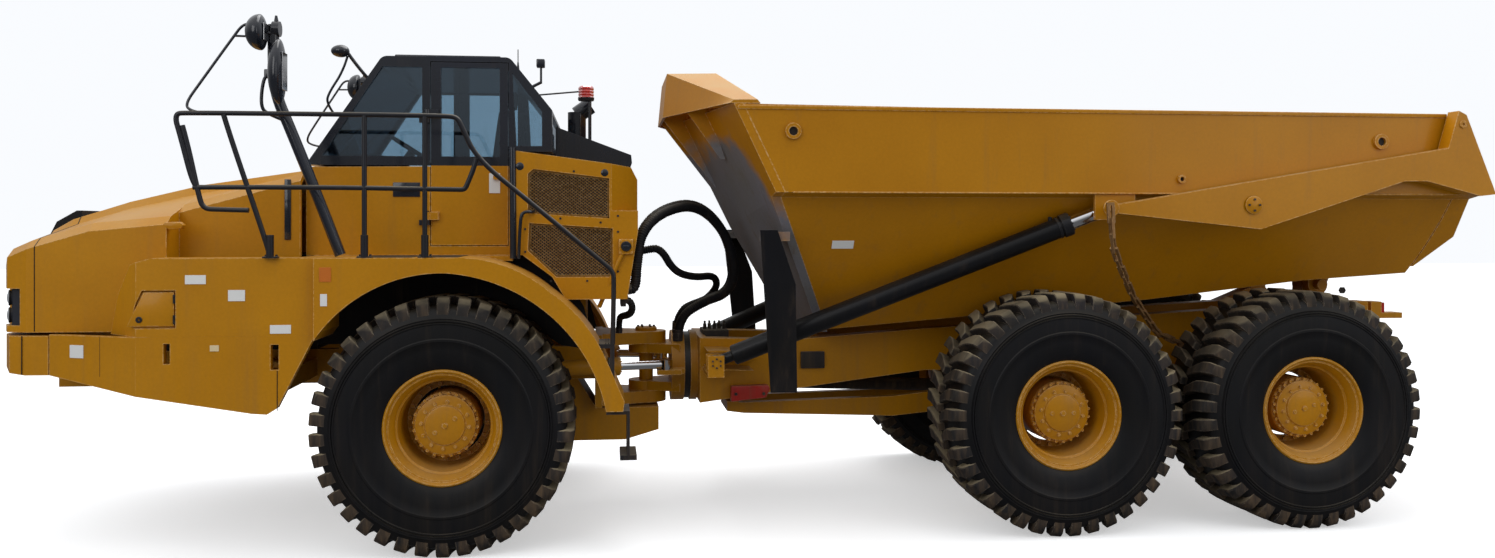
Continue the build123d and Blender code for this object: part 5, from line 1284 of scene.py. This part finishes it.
def hoses():
    """Two arch hoses, a lower one beside them, and two that drop to the front frame."""
    for i, y in enumerate((-1.07, -0.96)):
        end = yoke_top(-0.18 + 0.10 * i)
        lift = 0.02 * i
        add_hose(f"arch_hose_{i}", [
            at(WALL_U - 0.035, y, 1.86), at(1.365, y, 1.84), at(1.375, y, 2.06),
            at(1.41, y + 0.02, 2.30 + lift), at(1.58, y + 0.13, 2.46 + lift),
            at(1.86, y + 0.28, 2.52 + lift), at(2.11, -0.60 + 0.11 * i, 2.30 + lift),
            at(2.21, -0.46 + 0.11 * i, 1.98), at(2.16, -0.34 + 0.11 * i, 1.78),
            at(1.96, end.y, 1.70), end + Vector((0.01, 0, 0.18)), end], SLEEVE, bends_to="hitch")
    end = yoke_top(0.05)
    add_hose("low_hose", [
        at(WALL_U - 0.005, -0.86, 2.13), at(1.46, -0.86, 2.16), at(1.57, -0.84, 2.17),
        at(1.68, -0.72, 1.98), at(1.86, -0.50, 1.92), at(2.06, -0.22, 1.93),
        at(2.10, -0.02, 1.80), at(1.90, 0.03, 1.64), end + Vector((0.005, 0, 0.14)), end],
        0.031, bends_to="hitch")
    for i, y in enumerate((-1.12, -1.03)):
        end = at(1.25, -0.24 + 0.06 * i, 1.449)
        add_hose(f"down_hose_{i}", [
            at(WALL_U - 0.06, y, 1.78), at(1.33, y, 1.77), at(1.345, y + 0.03, 1.70),
            at(1.32, y + 0.28, 1.64), at(1.26, -0.42 + 0.06 * i, 1.60),
            end + Vector((0, 0, 0.1)), end], 0.026)


def hose_fittings():
    """Blocks and swivel nuts where the hoses start and end, and the valve block behind."""
    start, lug, end, valve = bmesh.new(), bmesh.new(), bmesh.new(), bmesh.new()
    for u, z_low, z_high in ((WALL_U - 0.065, 1.73, 1.82), (WALL_U - 0.04, 1.82, 1.92),
                             (WALL_U - 0.005, 2.08, 2.18)):
        add_box(start, at(u - 0.03, -1.15, z_low), at(u + 0.012, -0.80, z_high), 0.005)
    for u, y, z, radius in ([(WALL_U - 0.035, y, 1.86, 0.046) for y in (-1.07, -0.96)]
                            + [(WALL_U - 0.005, -0.86, 2.13, 0.037)]
                            + [(WALL_U - 0.06, y, 1.78, 0.032) for y in (-1.12, -1.03)]):
        add_rod(start, at(u, y, z), at(u + 0.025, y, z), radius, 6)
    for i in range(2):
        foot = at(1.25, -0.24 + 0.06 * i, 1.447)
        add_rod(lug, foot, foot + Vector((0, 0, 0.045)), 0.031, 6)
    for y, radius in ((-0.18, 0.047), (-0.08, 0.047), (0.05, 0.038)):
        foot = yoke_top(y)
        add_rod(end, foot - Vector((0, 0, 0.02)), foot + Vector((0, 0, 0.045)), radius, 6)
        add_rod(end, foot, foot + Vector((0.003, 0, 0.075)), radius - 0.003, 16)
    add_box(valve, at(1.96, -0.20, 1.33), at(2.18, 0.16, 1.46), 0.008)
    for i in range(5):
        foot = at(1.985 + 0.042 * i, -0.06 + 0.03 * (i % 2), 1.455)
        add_rod(valve, foot, foot + Vector((0, 0, 0.05)), 0.017, 6)
        add_rod(valve, foot, foot + Vector((0, 0, 0.075)), 0.010, 10)
    for piece, name, body in ((start, "hose_blocks", "tractor"), (lug, "hose_nuts_low", "tractor"),
                              (end, "hose_nuts_hitch", "hitch"),
                              (valve, "valve_block", "rear_frame")):
        place(piece, name, body, dark_iron, smooth=30)


hoses()
hose_fittings()
print("hoses ready")

# %% [markdown]
# ## Frame and running gear
# The rear frame carries the articulation lock, gussets to the hoists' feet, and the shafts that
# drive the two rear axles. The hoists get their gland rings, the hitch its bolted caps.

# %% Rear frame fittings
HITCH_PIN_U = 1.483
HOIST_FOOT = (2.0, 0.9, 1.268)           # u, distance from the middle, z


def add_bolt_ring(shape, middle, axis, count, radius, size, length, sides=6):
    """Bolt heads in a circle round an axis."""
    matrix = frame_at(middle, axis)
    for i in range(count):
        angle = tau * i / count
        across, along = radius * cos(angle), radius * sin(angle)
        add_rod(shape, matrix @ Vector((across, along, 0)),
                matrix @ Vector((across, along, length)), size, sides)


def rear_frame_fittings():
    yellow, dark, red = bmesh.new(), bmesh.new(), bmesh.new()
    for side in (-1, 1):
        for z in (1.185, 1.33):
            add_side_prism(yellow, [(1.96, z), (2.32, z), (2.06, z + 0.02), (1.94, z + 0.02)],
                           side, 0.479, 0.80, 0.004)
        add_bolt_ring(dark, at(HOIST_FOOT[0], side * HOIST_FOOT[1], HOIST_FOOT[2])
                      + Vector((0, side * 0.09, 0)),
                      (0, side, 0), 6, 0.035, 0.008, 0.012)
        add_box(dark, at(2.75, side * 0.48 - 0.025, 1.16), at(2.95, side * 0.48 + 0.025, 1.30),
                0.006)
    add_prism(red, [(2.16, 0.90), (2.45, 0.93), (2.484, 1.0), (2.47, 1.035), (2.16, 1.03)],
              -0.56, -0.478, 0.01)
    for u in (2.2, 2.43):
        add_rod(dark, at(u, -0.57, 0.965), at(u, -0.55, 0.965), 0.014, 6)
    add_bolt_ring(dark, at(1.911, 0, 1.15), (1, 0, 0), 20, 0.255, 0.013, 0.02)
    for start, end, radius in (((2.30, 0, 1.0), (4.34, 0, 0.93), 0.055),
                               ((4.84, 0, 0.92), (6.31, 0, 0.92), 0.05)):
        a, b = at(*start), at(*end)
        way = (b - a).normalized()
        add_rod(dark, a, b, radius, 20)
        for foot, sign in ((a, 1), (b, -1)):
            add_rod(dark, foot, foot + way * sign * 0.03, radius + 0.035, 20)
            add_rod(dark, foot + way * sign * 0.06, foot + way * sign * 0.13, radius + 0.018, 20)
            add_bolt_ring(dark, foot + way * sign * 0.03, way * sign, 8, radius + 0.02, 0.008,
                          0.014)
    place(yellow, "hoist_foot_gussets", "rear_frame", yellow_paint)
    place(dark, "rear_frame_iron", "rear_frame", dark_iron, smooth=40)
    place(red, "frame_lock", "rear_frame", red_paint, smooth=40)


def tail_brackets():
    """Tow lugs that stand up on the frame's rear corners, and the tow plate's gussets."""
    shape, dark = bmesh.new(), bmesh.new()
    for side in (-1, 1):
        add_side_prism(shape, [(7.68, 1.44), (7.87, 1.44), (7.87, 1.665), (7.855, 1.68),
                               (7.70, 1.68), (7.675, 1.66)], side, 0.30, 0.46, 0.006)
        add_side_prism(shape, [(7.85, 1.43), (8.10, 1.43), (8.12, 1.452), (8.0, 1.50),
                               (7.85, 1.55)], side, 0.10, 0.13, 0.004)
        for z in (1.56, 1.60, 1.64):
            add_rod(dark, at(7.868, side * 0.40, z), at(7.876, side * 0.40, z), 0.011, 6)
        add_rod(dark, at(7.343, side * 0.86, 1.80), at(7.343, side * 0.875, 1.80), 0.03, 6)
    place(dark, "tail_bolts", "rear_frame", dark_iron)
    return place(shape, "tail_brackets", "rear_frame", yellow_paint)


def hitch_caps():
    shape, cap = bmesh.new(), bmesh.new()
    for z, way in ((1.469, 1), (0.829, -1)):
        foot = at(HITCH_PIN_U, 0, z)
        add_turned(cap, [(0.0, 0.012), (0.085, 0.012), (0.092, 0.004), (0.092, -0.022)],
                   frame_at(foot, (0, 0, way)), 36)
        add_bolt_ring(shape, foot + Vector((0, 0, way * 0.012)), (0, 0, way), 6, 0.068, 0.011,
                      0.014)
    place(cap, "hitch_caps", "tractor", yellow_paint, smooth=40)
    place(shape, "hitch_cap_bolts", "tractor", dark_iron)


def cylinder_glands():
    """The ring at the open end of each cylinder, where the chromed rod slides out."""
    for kind, base, eye, length, radius in (
            ("hoist", HOIST_FOOT, (4.87, 1.51, 2.44), 2.95, 0.08),
            ("steer", (0.48, 0.64, 1.2), (1.633, 0.42, 1.2), 0.78, 0.065)):
        for side_name, side in (("left", -1), ("right", 1)):
            foot = at(base[0], side * base[1], base[2])
            way = (at(eye[0], side * eye[1], eye[2]) - foot).normalized()
            bore = 0.057 if kind == "hoist" else 0.037
            shape = bmesh.new()
            add_ring(shape, foot + way * (length - 0.03), way, radius + 0.011, bore, 0.07, 36)
            add_ring(shape, foot + way * (length - 0.09), way, radius + 0.005, bore + 0.01, 0.02,
                     36)
            add_bolt_ring(shape, foot + way * (length + 0.004), way, 8, radius - 0.008, 0.007,
                          0.012)
            port = foot + way * (length - 0.16)
            add_rod(shape, port, port + Vector((0, 0, radius + 0.03)), 0.016, 12)
            place(shape, f"{kind}_gland_{side_name}", f"{kind}_barrel_{side_name}",
                  black_paint if kind == "hoist" else yellow_paint, smooth=40)


rear_frame_fittings()
tail_brackets()
hitch_caps()
cylinder_glands()
print("frame dressed")

# %% [markdown]
# ## The tipping body
# The load body is plate steel: a folded lip along each upper edge, welded seams where plates
# meet, lifting eyes, and capped pins where the tailgate's arms turn.

# %% Body lips, eyes and pins


def body_lips():
    shape = bmesh.new()
    wall_y = -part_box("headboard")[0].y
    start, end = at(2.09, 0, 3.232), at(7.69, 0, 3.184)
    for side in (-1, 1):
        y = side * (wall_y - 0.012)
        a, b = start + Vector((0, y, 0)), end + Vector((0, y, 0))
        middle, way = (a + b) / 2, b - a
        add_plate(shape, middle, (0, 0, 1), way, way.length, 0.046, 0.03, 0.006)
        low = [at(2.50, side * (wall_y + 0.002), 2.59), at(7.66, side * (wall_y + 0.002), 2.59)]
        add_rod(shape, low[0], low[1], 0.006, 8)
    return place(shape, "body_lips", "dump_body", bed_paint, smooth=40)


def lifting_eyes():
    shape, hole_shade = bmesh.new(), bmesh.new()
    wall_y = -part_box("headboard")[0].y
    for side in (-1, 1):
        for u, z, radius in ((2.497, 3.036, 0.06), (7.129, 3.0, 0.06), (5.489, 2.70, 0.032)):
            add_ring(shape, at(u, side * (wall_y + 0.012), z), (0, side, 0), radius, radius * 0.55,
                     0.028)
            # Painted shade: a dark disc on the wall inside each eye stands for the shade in its
            # hole.
            add_rod(hole_shade, at(u, side * wall_y, z), at(u, side * (wall_y + 0.003), z),
                    radius * 0.56)
    place(hole_shade, "lifting_eye_hole_shade", "dump_body", dark_iron)
    return place(shape, "lifting_eyes", "dump_body", bed_paint, smooth=40)


def gate_fittings():
    """Caps on the arm's pins, a ring round its head, and stiffeners across the gate."""
    caps, gate, dark = bmesh.new(), bmesh.new(), bmesh.new()
    arm_y = -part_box("tailgate")[0].y - 0.03
    pin_u, pin_z = 5.992, 2.502
    for side in (-1, 1):
        y = side * (arm_y + 0.011)
        add_turned(caps, [(0.0, 0.010), (0.060, 0.010), (0.068, 0.004), (0.068, 0.0)],
                   frame_at(at(pin_u, y, pin_z), (0, side, 0)), 36)
        add_bolt_ring(dark, at(pin_u, y + side * 0.010, pin_z), (0, side, 0), 4, 0.042, 0.009,
                      0.01)
        add_ring(gate, at(4.87, side * (arm_y + 0.002), 2.475), (0, side, 0), 0.062, 0.027, 0.012)
        add_ring(gate, at(7.72, side * (arm_y + 0.004), 3.13), (0, side, 0), 0.03, 0.012, 0.012)
    place(caps, "gate_pin_caps", "dump_body", bed_paint, smooth=40)
    place(dark, "gate_pin_bolts", "dump_body", dark_iron)
    place(gate, "gate_rings", "tailgate", bed_paint, smooth=40)


body_lips()
lifting_eyes()
gate_fittings()
print("body dressed")

# %% [markdown]
# ## The studio
# A pale floor meets a pale backdrop. One broad light overhead makes the bright tops and keeps the
# sides darker, as open sky does; two lower ones on the camera's side fill the wheels and the frame.

# %% Floor, backdrop and lights


def studio_floor_material():
    """White to the camera; darker to the light that it sends back up under the truck."""
    material = plain("studio floor", (0.25, 0.25, 0.25), 0.9)
    tree = material.node_tree
    dark = tree.nodes["Principled BSDF"]
    white = add_node(tree, "ShaderNodeBsdfPrincipled",
                     {"Base Color": (0.96, 0.96, 0.96, 1), "Roughness": 0.9,
                      "Specular IOR Level": 0.0, "Emission Color": (1, 1, 1, 1),
                      "Emission Strength": 0.45})
    seen = add_node(tree, "ShaderNodeLightPath").outputs["Is Camera Ray"]
    show_mix(tree, seen, dark, white, tree.nodes["Material Output"])
    return material


def studio():
    floor_mesh = bmesh.new()
    bmesh.ops.create_grid(floor_mesh, size=60)
    mesh = bpy.data.meshes.new("studio_floor")
    floor_mesh.to_mesh(mesh)
    floor_mesh.free()
    mesh.materials.append(studio_floor_material())
    floor = bpy.data.objects.new("studio_floor", mesh)
    floor.location.z = cad_low.z
    floor.visible_glossy = False
    scene.collection.objects.link(floor)

    world = bpy.data.worlds.new("studio")
    world.use_nodes = True
    tree = world.node_tree
    background = tree.nodes["Background"]
    background.inputs[0].default_value = (0.95, 0.97, 1.0, 1)
    way = add_node(tree, "ShaderNodeTexCoord").outputs["Generated"]
    rise = add_node(tree, "ShaderNodeSeparateXYZ", {0: way}).outputs[2]
    sky = ramp(tree, rise, -0.05, 0.7, 0.12, 1.0)
    seen = add_node(tree, "ShaderNodeLightPath").outputs["Is Camera Ray"]
    strength = ramp(tree, seen, 0.0, 1.0, sky, 1.0)
    tree.links.new(strength, background.inputs[1])
    scene.world = world

    for name, place_at, aim, size, power in (
            ("overhead", (1.0, 1.5, 11.0), (0.0, 0.0, 1.5), 9.0, 760),
            ("front_left", (-9.0, -10.0, 6.0), (0.0, 0.0, 1.5), 6.0, 230),
            ("rear_left", (9.0, -9.0, 5.0), (1.0, 0.0, 1.5), 6.0, 160)):
        lamp_data = bpy.data.lights.new(name, "AREA")
        lamp_data.size = size
        lamp_data.energy = power
        lamp = bpy.data.objects.new(name, lamp_data)
        lamp.location = place_at
        lamp.rotation_euler = (Vector(aim) - Vector(place_at)).to_track_quat("-Z", "Y").to_euler()
        scene.collection.objects.link(lamp)


studio()

# %% Render settings
scene.render.engine = "CYCLES"
scene.cycles.max_bounces = 8
scene.cycles.transparent_max_bounces = 12
scene.cycles.use_denoising = True
scene.view_settings.view_transform = "Standard"
scene.view_settings.look = "None"
scene.view_settings.exposure = 0.0
scene.render.resolution_x = 1495
scene.render.resolution_y = 558
